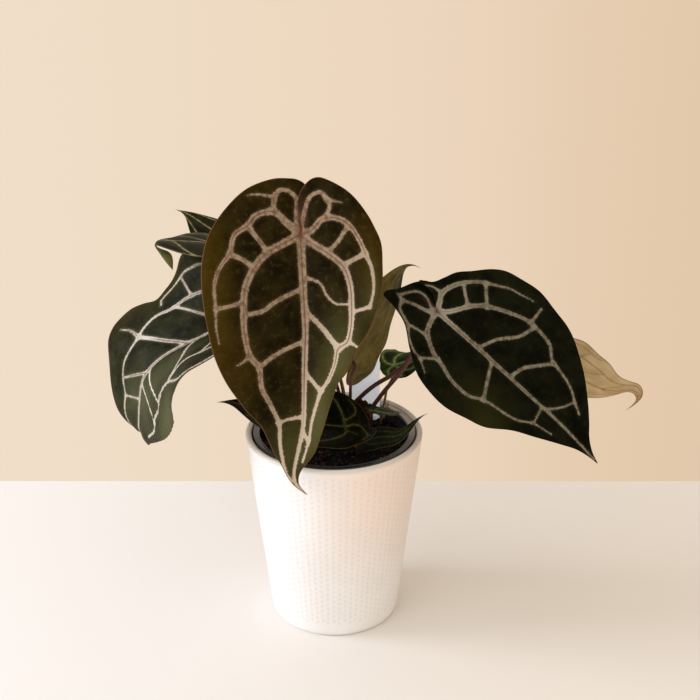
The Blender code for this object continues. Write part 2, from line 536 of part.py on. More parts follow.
def blade_at_joint(leaf):
    """Directions square to the blade and along it at its joint, after its own pitch there."""
    _, ey, ez = blade_axes(leaf["aim"])
    pitch = math.radians(float(stations(leaf["pitch"], np.array([0.0]))[0]))
    return math.cos(pitch) * ez - math.sin(pitch) * ey, math.cos(pitch) * ey + math.sin(pitch) * ez


def thin_out(path, radii, count):
    """Fewer rings, closer together where the stalk bends most."""
    ahead = np.gradient(path, axis=0)
    ahead /= np.linalg.norm(ahead, axis=1, keepdims=True)
    turn = np.linalg.norm(np.diff(ahead, axis=0), axis=1)
    length = np.linalg.norm(np.diff(path, axis=0), axis=1)
    weight = np.concatenate([[0.0], np.cumsum(turn + length / length.sum() * 1.2)])
    at = np.interp(np.linspace(0, weight[-1], count), weight, np.arange(len(path)))
    steps = np.arange(len(path))
    return np.stack([np.interp(at, steps, path[:, k]) for k in range(3)], -1), np.interp(at, steps, radii)


def box(centre, size):
    """Plain block."""
    c, h = np.array(centre, float), np.array(size, float) / 2
    points = np.array([c + h * (i, j, k) for i in (-1, 1) for j in (-1, 1) for k in (-1, 1)])
    quads = [(0, 1, 3, 2), (4, 6, 7, 5), (0, 4, 5, 1), (2, 3, 7, 6), (0, 2, 6, 4), (1, 5, 7, 3)]
    faces = np.array([t for a, b, c, d in quads for t in ((a, b, c), (a, c, d))])
    return points, faces


def crown_body(extra=0.0):
    """Short rough stem with a rounded top."""
    base = ROOT_DEPTH - 3.0 - (1.0 if extra else 0.0)
    r = CROWN_RADIUS
    profile = [(0.0, base), (r * 0.92 + extra, base), (r + extra, 146.0), (r * 0.97 + extra, 150.0),
               (r * 0.86 + extra, 154.0), (r * 0.6 + extra, CROWN_TOP - 2.0), (r * 0.25, CROWN_TOP),
               (0.0, CROWN_TOP + 0.3)]
    points, faces = turned(profile, 14)
    points[:, 0] += CROWN_CENTRE[0]
    points[:, 1] += CROWN_CENTRE[1]
    return points, faces


def cut(body, cutters):
    """Take each cutter out of the body, and drop the cutter."""
    for cutter in cutters:
        cutter.hide_render = True
        cutter.display_type = "WIRE"
        step = body.modifiers.new("cut", "BOOLEAN")
        step.operation = "DIFFERENCE"
        step.solver = "EXACT"
        step.object = cutter
    bpy.context.view_layer.update()
    shaped = bpy.data.meshes.new_from_object(body.evaluated_get(bpy.context.evaluated_depsgraph_get()))
    body.modifiers.clear()
    body.data = shaped
    for cutter in cutters:
        bpy.data.objects.remove(cutter, do_unlink=True)


def build():
    for item in list(bpy.data.objects):
        bpy.data.objects.remove(item, do_unlink=True)
    make_object("planter", *turned(planter_profile(), 64), "planter", smooth=True)
    make_object("nursery_pot", *turned(liner_profile(), 48), "liner", smooth=True)
    soil = make_object("soil", *soil_body(), "soil")
    make_object("crown", *crown_body(), "crown", smooth=True)
    tag_height = TAG_TOP - TAG_BOTTOM
    tag_middle = (TAG_CENTRE[0], TAG_CENTRE[1], (TAG_TOP + TAG_BOTTOM) / 2)
    make_object("plant_tag", *box(tag_middle, (TAG_WIDTH, TAG_THICKNESS, tag_height)), "tag")
    cutters = [make_object("crown_hole", *crown_body(FIT_GAP), "crown")]
    slot = (TAG_WIDTH + 2 * FIT_GAP, TAG_THICKNESS + 2 * FIT_GAP, tag_height + 2 * FIT_GAP)
    cutters.append(make_object("tag_slot", *box(tag_middle, slot), "tag"))
    for name, leaf in LEAVES.items():
        if "width" in leaf:
            leaf["full_width"] = max(leaf["width"])
        else:
            leaf["full_width"] = float(max(abs(x) for x, _ in leaf["right"] + leaf["left"]))
        points, faces = blade_sheet(leaf)
        solid = sheet_to_solid(points, faces, BLADE_THICKNESS)
        make_object("blade_" + name, *solid, LEAF_COLOURS.get(name, "dark_leaf"), smooth=True)
        path, radii, face = stalk_path(name)
        rings = 16 if len(STALKS[name]["points"]) > 3 else 11
        thin, thin_radii = thin_out(path, radii, rings)
        stalk_colour = STALK_COLOURS.get(name, "stalk")
        make_object("petiole_" + name, *tube(thin, thin_radii, 8, face), stalk_colour, smooth=True)
        low = np.vstack([thin[0] - (0, 0, FIT_GAP), thin[thin[:, 2] < 156.0]])
        high = thin[thin[:, 2] >= 156.0]
        if len(high):
            low = np.vstack([low, high[0]])
        low_radii = np.interp(low[:, 2], thin[:, 2], thin_radii)
        cutters.append(make_object("hole_" + name, *tube(low, low_radii, 8, None, FIT_GAP * 2.0), "soil"))
    cut(soil, cutters)


build()
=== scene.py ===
# Potted anthurium: the looks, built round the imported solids. Metres, +Z up; lists are in millimetres.
import json
import math

import bpy
import numpy as np
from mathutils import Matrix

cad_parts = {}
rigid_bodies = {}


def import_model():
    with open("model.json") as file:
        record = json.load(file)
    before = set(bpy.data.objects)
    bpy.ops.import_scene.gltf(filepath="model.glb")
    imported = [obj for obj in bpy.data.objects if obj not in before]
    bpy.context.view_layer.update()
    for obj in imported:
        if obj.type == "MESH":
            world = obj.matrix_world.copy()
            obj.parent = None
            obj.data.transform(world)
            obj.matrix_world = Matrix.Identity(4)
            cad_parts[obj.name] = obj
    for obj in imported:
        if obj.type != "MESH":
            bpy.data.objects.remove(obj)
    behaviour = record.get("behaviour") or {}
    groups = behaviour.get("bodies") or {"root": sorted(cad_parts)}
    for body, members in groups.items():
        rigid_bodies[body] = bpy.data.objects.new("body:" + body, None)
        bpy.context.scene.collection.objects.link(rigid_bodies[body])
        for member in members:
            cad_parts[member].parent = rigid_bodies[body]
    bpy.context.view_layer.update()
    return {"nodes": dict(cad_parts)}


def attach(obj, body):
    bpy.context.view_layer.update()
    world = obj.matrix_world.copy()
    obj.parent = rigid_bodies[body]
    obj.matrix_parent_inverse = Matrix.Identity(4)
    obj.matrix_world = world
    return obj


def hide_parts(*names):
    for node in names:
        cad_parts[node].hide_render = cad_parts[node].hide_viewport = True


for leftOver in list(bpy.data.objects):
    bpy.data.objects.remove(leftOver, do_unlink=True)
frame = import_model()
print("frame loaded:", len(frame["nodes"]), "nodes")

millimetre = 0.001


# Camera.

cameraLook = dict(place=(0.01206, -1.08343, 0.71422), pitchDown=24.469, lens=82.286, sensor=36.0)


def makeCamera(look):
    # Looks along +Y, turned down by the pitch.
    data = bpy.data.cameras.new("camera")
    data.lens = look["lens"]
    data.sensor_width = look["sensor"]
    data.clip_end = 50.0
    camera = bpy.data.objects.new("camera", data)
    camera.location = look["place"]
    camera.rotation_euler = (math.radians(90.0 - look["pitchDown"]), 0.0, 0.0)
    bpy.context.scene.collection.objects.link(camera)
    bpy.context.scene.camera = camera


makeCamera(cameraLook)


# Small helpers for shader nodes.

def colour(red, green, blue):
    # Screen colour 0 to 255 turned into the linear colour that shaders use.
    screen = np.array([red, green, blue]) / 255.0
    linear = np.where(screen <= 0.04045, screen / 12.92, ((screen + 0.055) / 1.055) ** 2.4)
    return (*linear.tolist(), 1.0)


def feed(tree, socket, value):
    # A socket gets another node's output or a plain value.
    if isinstance(value, bpy.types.NodeSocket):
        tree.links.new(value, socket)
    else:
        socket.default_value = value


def put(tree, kind, inputs=(), **settings):
    # One node; inputs maps a socket's name or number to a value or to another node's output.
    node = tree.nodes.new(kind)
    for name, value in settings.items():
        setattr(node, name, value)
    for name, value in dict(inputs).items():
        feed(tree, node.inputs[name], value)
    return node


def calc(tree, operation, first, second=0.0, third=0.0):
    # Math node.
    return put(tree, "ShaderNodeMath", {0: first, 1: second, 2: third}, operation=operation).outputs[0]


def times(tree, first, second):
    # Product of two values.
    return calc(tree, "MULTIPLY", first, second)


def timesPlus(tree, first, second, third):
    # Product of the first two values, plus the third.
    return calc(tree, "MULTIPLY_ADD", first, second, third)


def ramp(tree, value, fromLow, fromHigh, toLow=0.0, toHigh=1.0):
    # Smooth step from one range to another, held at both ends.
    inputs = {"Value": value, "From Min": fromLow, "From Max": fromHigh, "To Min": toLow, "To Max": toHigh}
    return put(tree, "ShaderNodeMapRange", inputs, interpolation_type="SMOOTHSTEP").outputs["Result"]


def blend(tree, share, low, high):
    # Colour mix: low at share 0, high at share 1.
    return put(tree, "ShaderNodeMix", {0: share, 6: low, 7: high}, data_type="RGBA").outputs[2]


def twoTone(tree, value, low, high, first, second):
    # One paint changing to another as the value goes from low to high.
    return blend(tree, ramp(tree, value, low, high), colour(*first), colour(*second))


def tint(tree, body, mask, share, paint):
    # The body colour with a share of paint over it where the mask is 1.
    return blend(tree, times(tree, mask, share), body, paint)


def noise(tree, place, scale, detail=3.0, roughness=0.55):
    # Noise value 0 to 1 at a place.
    inputs = {"Vector": place, "Scale": scale, "Detail": detail, "Roughness": roughness}
    return put(tree, "ShaderNodeTexNoise", inputs).outputs["Fac"]


def attribute(tree, name, output="Fac"):
    # A value stored on the mesh.
    return put(tree, "ShaderNodeAttribute", attribute_name=name).outputs[output]


def objectPlace(tree):
    # The place on the piece, in metres.
    return put(tree, "ShaderNodeTexCoord").outputs["Object"]


def axisParts(tree, place):
    # The three numbers of a place.
    return put(tree, "ShaderNodeSeparateXYZ", {0: place}).outputs


def stretch(tree, place, factors):
    # A place multiplied axis by axis.
    return put(tree, "ShaderNodeVectorMath", {0: place, 1: factors}, operation="MULTIPLY").outputs[0]


def scatter(tree, place, scale):
    # Scattered dots: distance to the nearest one, and its own colour.
    return put(tree, "ShaderNodeTexVoronoi", {"Vector": place, "Scale": scale, "Randomness": 1.0}).outputs


def fewOf(tree, dots, most):
    # 1 round the dots whose own number, 0 to 1, is above the given one.
    own = put(tree, "ShaderNodeSeparateColor", {0: dots["Color"]}).outputs[0]
    return calc(tree, "GREATER_THAN", own, most)


def newGroup(name, inputs, outputs):
    # Shader node group with named sockets; returns its tree, its inputs and its output node.
    tree = bpy.data.node_groups.new(name, "ShaderNodeTree")
    kinds = {"colour": "NodeSocketColor", "value": "NodeSocketFloat", "vector": "NodeSocketVector"}
    for label, kind in inputs:
        tree.interface.new_socket(name=label, in_out="INPUT", socket_type=kinds[kind])
    for label, kind in outputs:
        tree.interface.new_socket(name=label, in_out="OUTPUT", socket_type=kinds[kind])
    return tree, tree.nodes.new("NodeGroupInput").outputs, tree.nodes.new("NodeGroupOutput").inputs


def newMaterial(name, **shaderValues):
    # Material with its Principled shader; plain values go on the shader's own sockets.
    material = bpy.data.materials.new(name)
    material.use_nodes = True
    shader = material.node_tree.nodes["Principled BSDF"]
    for label, value in shaderValues.items():
        shader.inputs[label.replace("_", " ")].default_value = value
    return material, material.node_tree, shader


def finishShader(tree, shader, body, roughness, height, distance, strength):
    # Colour, roughness and a bump from a height go to the shader.
    bump = put(tree, "ShaderNodeBump", {"Height": height, "Distance": distance, "Strength": strength})
    tree.links.new(body, shader.inputs["Base Color"])
    tree.links.new(roughness, shader.inputs["Roughness"])
    tree.links.new(bump.outputs["Normal"], shader.inputs["Normal"])


def useGroup(tree, group, values):
    # A group placed in a material with its own values.
    node = tree.nodes.new("ShaderNodeGroup")
    node.node_tree = group
    for label, value in values.items():
        feed(tree, node.inputs[label], value)
    return node.outputs


# Small helpers for surfaces.

def newPiece(name, points, faces, materials, replaced=(), values=(), faceMaterial=None):
    # Mesh piece from points in millimetres and triangles; values are numbers stored on each point.
    mesh = bpy.data.meshes.new(name)
    mesh.from_pydata((np.asarray(points) * millimetre).tolist(), [], np.asarray(faces).tolist())
    for label, numbers in dict(values).items():
        numbers = np.asarray(numbers, np.float32)
        kind, key = ("FLOAT", "value") if numbers.ndim == 1 else ("FLOAT_VECTOR", "vector")
        mesh.attributes.new(label, kind, "POINT").data.foreach_set(key, numbers.ravel())
    mesh.polygons.foreach_set("use_smooth", np.ones(len(mesh.polygons), bool))
    for material in materials:
        mesh.materials.append(material)
    if faceMaterial is not None:
        mesh.polygons.foreach_set("material_index", np.asarray(faceMaterial, np.int32))
    mesh.update()
    piece = bpy.data.objects.new(name, mesh)
    bpy.context.scene.collection.objects.link(piece)
    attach(piece, "root")
    if replaced:
        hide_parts(*replaced)


def pathLength(path):
    # Sum of the steps between a path's points.
    return np.linalg.norm(np.diff(path, axis=0), axis=1).sum()


def walked(path):
    # Length walked at each point of a path.
    return np.concatenate([[0.0], np.cumsum(np.linalg.norm(np.diff(path, axis=0), axis=1))])


def evenPath(path, count):
    # The same path at evenly spaced points.
    gone = walked(path)
    at = np.linspace(0.0, gone[-1], count)
    return np.stack([np.interp(at, gone, path[:, k]) for k in range(path.shape[1])], axis=-1)


def between(low, high, start, end, at):
    # Straight mix of two points: start at low, end at high.
    share = (at - low) / (high - low)
    return (1 - share) * start + share * end


def smoothPath(points, count):
    # Centripetal Catmull-Rom curve through the points: three rounds of straight mixing over knots
    # that stand apart by the square root of each distance.
    given = np.array(points, float)
    ends = np.vstack([2 * given[0] - given[1], given, 2 * given[-1] - given[-2]])
    steps = np.sqrt(np.linalg.norm(np.diff(ends, axis=0), axis=1))
    knots = np.concatenate([[0.0], np.cumsum(steps)])
    runs = []
    for i in range(1, len(ends) - 2):
        at = np.linspace(knots[i], knots[i + 1], 24)[:, None]
        k = knots[i - 1:i + 3]
        p = ends[i - 1:i + 3]
        first = [between(k[j], k[j + 1], p[j], p[j + 1], at) for j in range(3)]
        second = [between(k[j], k[j + 2], first[j], first[j + 1], at) for j in range(2)]
        runs.append(between(k[1], k[2], second[0], second[1], at))
    return evenPath(np.vstack(runs), count)


def bezier(p0, p1, p2, p3, count):
    # Cubic Bezier curve.
    t = np.linspace(0.0, 1.0, count)[:, None]
    p0, p1, p2, p3 = (np.array(p, float) for p in (p0, p1, p2, p3))
    return (1 - t) ** 3 * p0 + 3 * (1 - t) ** 2 * t * p1 + 3 * (1 - t) * t ** 2 * p2 + t ** 3 * p3


def gridFaces(rows, columns, wrap=False):
    # Two triangles for each cell of a grid of points; wrap joins the last column to the first.
    index = np.arange(rows * columns).reshape(rows, columns)
    if wrap:
        index = np.hstack([index, index[:, :1]])
    a, b, c, d = index[:-1, :-1], index[:-1, 1:], index[1:, 1:], index[1:, :-1]
    return np.stack([a, b, c, a, c, d], -1).reshape(-1, 3)


def weld(points, faces, values=()):
    # Joins points that share a place, and drops triangles that lose a side.
    _, first, where = np.unique(np.round(points, 4), axis=0, return_index=True, return_inverse=True)
    faces = where.reshape(-1)[faces]
    kept = (faces[:, 0] != faces[:, 1]) & (faces[:, 1] != faces[:, 2]) & (faces[:, 2] != faces[:, 0])
    return points[first], faces[kept], {label: numbers[first] for label, numbers in dict(values).items()}


def pointNormals(points, faces):
    # Sum of the triangles' area normals round each point, made one long.
    corner = points[faces]
    normal = np.cross(corner[:, 1] - corner[:, 0], corner[:, 2] - corner[:, 0])
    total = np.zeros_like(points)
    for k in range(3):
        np.add.at(total, faces[:, k], normal)
    return total / np.maximum(np.linalg.norm(total, axis=1, keepdims=True), 1e-9)


def closeSheet(upper, lower, faces):
    # Upper and lower skins of a sheet joined by a wall round its edge; part 0 is upper, 1 lower and edge.
    count = len(upper)
    edges = np.vstack([faces[:, [0, 1]], faces[:, [1, 2]], faces[:, [2, 0]]])
    key, back = edges[:, 0] * count + edges[:, 1], edges[:, 1] * count + edges[:, 0]
    rim = edges[~np.isin(key, back)]
    wall = np.vstack([np.stack([rim[:, 0], rim[:, 0] + count, rim[:, 1] + count], -1),
                      np.stack([rim[:, 0], rim[:, 1] + count, rim[:, 1]], -1)])
    part = np.concatenate([np.zeros(len(faces)), np.ones(len(faces) + len(wall))])
    return np.vstack([upper, lower]), np.vstack([faces, faces[:, ::-1] + count, wall]), part


def turned(profile, sides, shift=None):
    # A profile of (radius, height) points carried round the Z axis; shift(angle, height) moves a point
    # outward. Points at radius 0 meet on the axis.
    profile = np.array(profile, float)
    angle = np.linspace(0, 2 * math.pi, sides, endpoint=False)[None, :]
    radius, height = profile[:, :1], profile[:, 1:] + 0 * angle
    radius = radius + (shift(angle, profile) if shift else 0.0) + 0 * angle
    points = np.stack([radius * np.cos(angle), radius * np.sin(angle), height], -1).reshape(-1, 3)
    points, faces, _ = weld(points, gridFaces(len(profile), sides, wrap=True))
    return points, faces


# The blade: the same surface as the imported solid, on a fine grid, with its veins.

def stations(pairs, at):
    # Monotone cubic curve through (place, value) pairs.
    x, y = np.array(pairs, float).T
    slope = np.diff(y) / np.diff(x)
    m = np.zeros_like(y)
    same = slope[:-1] * slope[1:] > 0
    m[1:-1] = np.where(same, 2 * slope[:-1] * slope[1:] / np.where(same, slope[:-1] + slope[1:], 1.0), 0.0)
    m[0], m[-1] = slope[0], slope[-1]
    v = np.clip(at, x[0], x[-1])
    i = np.clip(np.searchsorted(x, v, side="right") - 1, 0, len(x) - 2)
    h = x[i + 1] - x[i]
    t = (v - x[i]) / h
    return ((2 * t ** 3 - 3 * t ** 2 + 1) * y[i] + (t ** 3 - 2 * t ** 2 + t) * h * m[i]
            + (3 * t ** 2 - 2 * t ** 3) * y[i + 1] + (t ** 3 - t ** 2) * h * m[i + 1])


def bladeAxes(aim):
    # Across, along and upper-face directions from heading, rise and roll in degrees.
    heading, rise, roll = np.radians(aim)
    along = np.array([math.cos(rise) * math.cos(heading), math.cos(rise) * math.sin(heading), math.sin(rise)])
    upright = np.array([0.0, 0.0, 1.0]) - along[2] * along
    upright /= np.linalg.norm(upright)
    face = math.cos(roll) * upright + math.sin(roll) * np.cross(along, upright)
    return np.cross(along, face), along, face


def bladePoint(leaf, x, y, side):
    # The midrib is walked along its pitch and sweep angles. Across it the blade leaves at the fold angle
    # and bends on by the cup angle over its full width. The left half laps over behind the joint, and the
    # margin waves by the square of the distance from the midrib.
    length = leaf["length"]
    place = np.linspace(-0.6, 1.05, 700)
    pitch, sweep = (np.radians(stations(leaf[key], place)) for key in ("pitch", "sweep"))
    forward = np.stack([np.sin(sweep) * np.cos(pitch), np.cos(sweep) * np.cos(pitch), np.sin(pitch)], axis=-1)
    step = np.diff(place)[:, None] * length
    spine = np.concatenate([np.zeros((1, 3)), np.cumsum(0.5 * (forward[1:] + forward[:-1]) * step, axis=0)])
    spine -= np.array([np.interp(0.0, place, spine[:, k]) for k in range(3)])
    across = np.stack([np.cos(sweep), -np.sin(sweep), 0 * sweep], axis=-1)
    upper = np.cross(across, forward)
    v = y / length
    centre, out, up = (np.stack([np.interp(v, place, a[:, k]) for k in range(3)], axis=-1)
                       for a in (spine, across, upper))
    out /= np.linalg.norm(out, axis=-1, keepdims=True)
    up /= np.linalg.norm(up, axis=-1, keepdims=True)
    away = x * side
    width = leaf["fullWidth"]
    fold = np.radians(stations(leaf["foldRight" if side > 0 else "foldLeft"], v))
    bend = np.radians(stations(leaf["cup"], v)) / width
    reach = (np.sin(fold + bend * away) - np.sin(fold)) / bend
    lift = (np.cos(fold) - np.cos(fold + bend * away)) / bend
    if side < 0:
        behind = np.clip(-y / 10.0, 0.0, 1.0)
        lift = lift + leaf["lap"] * behind ** 2 * (3 - 2 * behind)
    height, count = leaf["wave"]
    lift = lift + height * (away / width) ** 2 * np.sin(2 * math.pi * count * v + side)
    local = centre + out * (reach * side)[..., None] + up * lift[..., None]
    ex, ey, ez = bladeAxes(leaf["aim"])
    return np.array(leaf["joint"]) + local[..., :1] * ex + local[..., 1:2] * ey + local[..., 2:] * ez


def heartSide(length, width, lobe, notch, bulge, point):
    # One half of a heart-shaped blade: sinus, round lobe and drawn-out tip, as three Bezier curves. notch is
    # how far out the lobe ends, bulge how round it is and point how wide the tip stays, as shares of width.
    apex, wide = (notch * width, -lobe), (width, 0.16 * length)
    ahead = length - wide[1]
    sinus = bezier((0, 0), (0, -0.35 * lobe), (0.25 * notch * width, -lobe), apex, 24)
    roundLobe = bezier(apex, (bulge * width, -lobe), (width, wide[1] - 0.55 * (lobe + wide[1])), wide, 40)
    near, far = (width, wide[1] + 0.42 * ahead), (point * width, wide[1] + 0.75 * ahead)
    tip = bezier(wide, near, far, (0, length), 60)
    return np.vstack([sinus, roundLobe[1:], tip[1:]])


# A heart's usual shares, right and left: where its lobe ends, how round it is, how wide its tip stays.
heartShares = {"notch": (0.28, 0.28), "bulge": (0.73, 0.73), "point": (0.06, 0.06)}


def halfOutline(leaf, side):
    # Inner edge behind the joint, and margin, of one half.
    if "width" in leaf:
        half = 0 if side > 0 else 1
        shares = [leaf.get(name, usual)[half] for name, usual in heartShares.items()]
        path = heartSide(leaf["length"], leaf["width"][half], leaf["lobe"][half], *shares)
        path[:, 0] *= side
    else:
        path = smoothPath(leaf["right" if side > 0 else "left"], 400)
    split = int(np.argmin(path[:, 1]))
    return path[:split + 1][::-1], path[split:]


def halfGrid(leaf, side, share):
    # Rows from the lobe's end to the tip; columns mix the inner edge into the margin.
    sinus, margin = halfOutline(leaf, side)
    rows, columns = leaf["grid"]
    first = max(3, round(rows * share))
    midrib = np.stack([np.zeros(rows - first), np.linspace(0, leaf["length"], rows - first + 1)[1:]], axis=-1)
    inner = np.vstack([evenPath(sinus, first + 1), midrib])
    margin = evenPath(margin, 800)
    place = np.concatenate([np.linspace(0, share, first + 1), np.linspace(share, 1, rows - first + 1)[1:]])
    outer = np.stack([np.interp(place, np.linspace(0, 1, 800), margin[:, k]) for k in range(2)], axis=-1)
    s = (np.linspace(0, 1, columns + 1) ** 0.9)[None, :, None]
    return inner[:, None] * (1 - s) + outer[:, None] * s, evenPath(np.vstack([sinus[::-1], margin]), 130)


def chainField(spots, chain):
    # Distance from each spot to a chain of straight pieces, and how far along the chain it meets it.
    start, run = chain[:-1], np.diff(chain, axis=0)
    share = np.clip(((spots[:, None] - start) * run).sum(-1) / (run ** 2).sum(-1), 0.0, 1.0)
    gap = np.linalg.norm(spots[:, None] - start - share[..., None] * run, axis=-1)
    near = gap.argmin(1)
    row = np.arange(len(spots))
    return gap[row, near], (near + share[row, near]) / len(run)


def veinField(leaf, spots, side):
    # Over all veins of this half: distance to the nearest vein's edge as a soft minimum, which fills the
    # corners where veins meet; distance to its line and to a main vein's line; and a running length.
    veins = leaf["veins"]["mid"] + leaf["veins"]["right" if side > 0 else "left"]
    total, run = np.zeros(len(spots)), np.zeros(len(spots))
    line, core = np.full(len(spots), 99.0), np.full(len(spots), 99.0)
    for number, (startWidth, endWidth, points) in enumerate(veins):
        length = pathLength(points)
        chain = np.array(points, float)
        if len(points) > 2:
            chain = smoothPath(points, max(4, round(length / 2.5)))
        gap, along = chainField(spots, chain)
        total += np.exp((0.5 * (startWidth + (endWidth - startWidth) * along) - gap) / leaf["web"])
        run = np.where(gap < line, along * length + 9.0 * number, run)
        line = np.minimum(line, gap)
        if startWidth >= leaf["coreFrom"]:
            core = np.minimum(core, gap + 1.2 * np.clip(along * 2.0 - 1.1, 0.0, 1.0))
    return -leaf["web"] * np.log(total + 1e-9) - leaf["swell"], line, core, run


def spotsField(spots, marks):
    # Sum of soft round marks (x, y, reach across, reach along, strength).
    total = np.zeros(len(spots))
    for x, y, reachX, reachY, strength in marks:
        total += strength * np.exp(-((spots[:, 0] - x) / reachX) ** 2 - ((spots[:, 1] - y) / reachY) ** 2)
    return total


def heartVeins(leaf):
    # The net of a plain heart leaf: a few veins in shares of half width and length (or of the lobe behind
    # the joint), scaled to each half.
    size, length = leaf["veinWidth"], leaf["length"]
    net = [(1.0, 0.5, [(0, 0), (0.28, 0.02), (0.48, 0.11), (0.56, 0.26), (0.48, 0.45), (0.30, 0.63),
                       (0.15, 0.80), (0.05, 0.93)]),
           (1.0, 0.4, [(0, 0), (0.22, -0.34), (0.46, -0.36), (0.70, -0.08), (0.83, 0.12), (0.84, 0.27),
                       (0.74, 0.44)]),
           (0.7, 0.5, [(0, 0), (0.08, -0.5), (0.2, -0.8), (0.36, -0.76), (0.46, -0.36)]),
           (0.6, 0.5, [(0.28, 0.02), (0.44, -0.12), (0.56, -0.26)]),
           (0.6, 0.6, [(0.50, 0.13), (0.66, 0.10), (0.83, 0.12)]),
           (0.5, 0.5, [(0.54, 0.33), (0.68, 0.34), (0.80, 0.36)]),
           (0.4, 0.2, [(0.46, -0.36), (0.6, -0.6), (0.66, -0.62)]),
           (0.7, 0.6, [(0, 0.17), (0.24, 0.22), (0.42, 0.31), (0.545, 0.34)]),
           (0.7, 0.5, [(0, 0.38), (0.18, 0.43), (0.34, 0.51), (0.41, 0.53)]),
           (0.5, 0.4, [(0, 0.60), (0.12, 0.66), (0.21, 0.735)])]
    veins = {"mid": [(1.15 * size, 0.5 * size, [(0, 0), (0, 0.5 * length), (0, 0.97 * length)])]}
    for name, side, width, lobe in zip(("right", "left"), (1, -1), leaf["width"], leaf["lobe"]):
        veins[name] = [(start * size, end * size,
                        [(side * u * width, v * (length if v >= 0 else lobe)) for u, v in points])
                       for start, end, points in net]
    return veins


# Some of these marks paint light: the sheen marks are painted sheen, the vein-light marks are painted light
# on the veins, and the warm marks are painted light shining through the front leaf's margins and elsewhere a
# warmer or browned blade.
leafMarks = ("warm", "pale", "stain", "bright")  # soft marks that a leaf may have, each stored under its name


def makeBlade(name, leaf, materials):
    # Both halves' grids are placed and welded. Between the veins the blade puffs up by a soft bell of the
    # distance to them; below, the veins stand out as ribs, and the blade thins towards its margin.
    drawn = leaf.get("right", []) + leaf.get("left", [])
    leaf["fullWidth"] = max(leaf["width"]) if "width" in leaf else float(max(abs(x) for x, _ in drawn))
    if "veins" not in leaf:
        leaf["veins"] = heartVeins(leaf)
    sinuses = sum(pathLength(halfOutline(leaf, side)[0]) for side in (1, -1))
    share = sinuses / (sinuses + 2 * leaf["length"])
    points, faces, fields = [], [], []
    start = 0
    for side in (1, -1):
        grid, outline = halfGrid(leaf, side, share)
        rows, columns = grid.shape[:2]
        spots = grid.reshape(-1, 2)
        points.append(bladePoint(leaf, spots[:, 0], spots[:, 1], side))
        cells = gridFaces(rows, columns)
        faces.append(start + (cells if side > 0 else cells[:, ::-1]))
        edge, line, core, run = veinField(leaf, spots, side)
        rim, _ = chainField(spots, outline)
        fields.append(np.stack([edge, line, core, run, rim, spots[:, 0], spots[:, 1]], -1))
        start += rows * columns
    fields = np.vstack(fields)
    points, faces, kept = weld(np.vstack(points), np.vstack(faces), {"all": fields})
    edge, line, core, run, rim, x, y = kept["all"].T
    normal = pointNormals(points, faces)
    reach = leaf["puffReach"]
    puff = leaf["puff"] * (1.0 - np.exp(-(line / reach) ** 2)) * np.clip(rim / reach, 0.0, 1.0)
    spots = np.stack([x, y], -1)
    for waveLength, tilt, *window in leaf.get("pleats", ()):
        crossed = (x * math.cos(tilt) + y * math.sin(tilt)) / waveLength
        puff = puff + spotsField(spots, [window]) * np.sin(2 * math.pi * crossed)
    body = points + normal * (puff - 0.25 * leaf["puff"])[:, None]
    thick = leaf["thickness"] * (0.35 + 0.65 * np.clip(rim / leaf["thinOver"], 0.0, 1.0))
    rib = leaf["rib"] * np.exp(-(line / leaf["ribReach"]) ** 2)
    rib = rib * np.clip(-edge * 0.8, 0.2, 1.0) * np.clip(rim / 2.0, 0.0, 1.0)
    skinPoints, skinFaces, part = closeSheet(body + normal * (thick / 2)[:, None],
                                             body - normal * (thick / 2 + rib)[:, None], faces)
    values = {"veinGap": edge, "coreGap": core, "rimGap": rim, "veinRun": run,
              "plane": np.stack([x, y, 0 * x], -1)}
    values.update({mark: spotsField(spots, leaf.get(mark, ())) for mark in leafMarks})
    values = {label: np.concatenate([numbers, numbers]) for label, numbers in values.items()}
    newPiece("leaf_" + name, skinPoints, skinFaces, materials, ["blade_" + name], values, part)
    print("leaf", name, len(skinFaces), "triangles")


# Finish of a blade: a group that paints the skin between the veins, the ragged silvery veins, the line
# down the middle of the main ones and the thin margin. It reads the values stored by makeBlade.

leafPaints = ("Blade", "Blade Dark", "Warm", "Pale Tone And Sheen", "Vein", "Vein Dark", "Lit Vein", "Core", "Rim")
leafNumbers = ("Ragged", "Halo", "Core Width", "Rim Width", "Specks")
skinOutputs = [("Colour", "colour"), ("Roughness", "value"), ("Height", "value")]


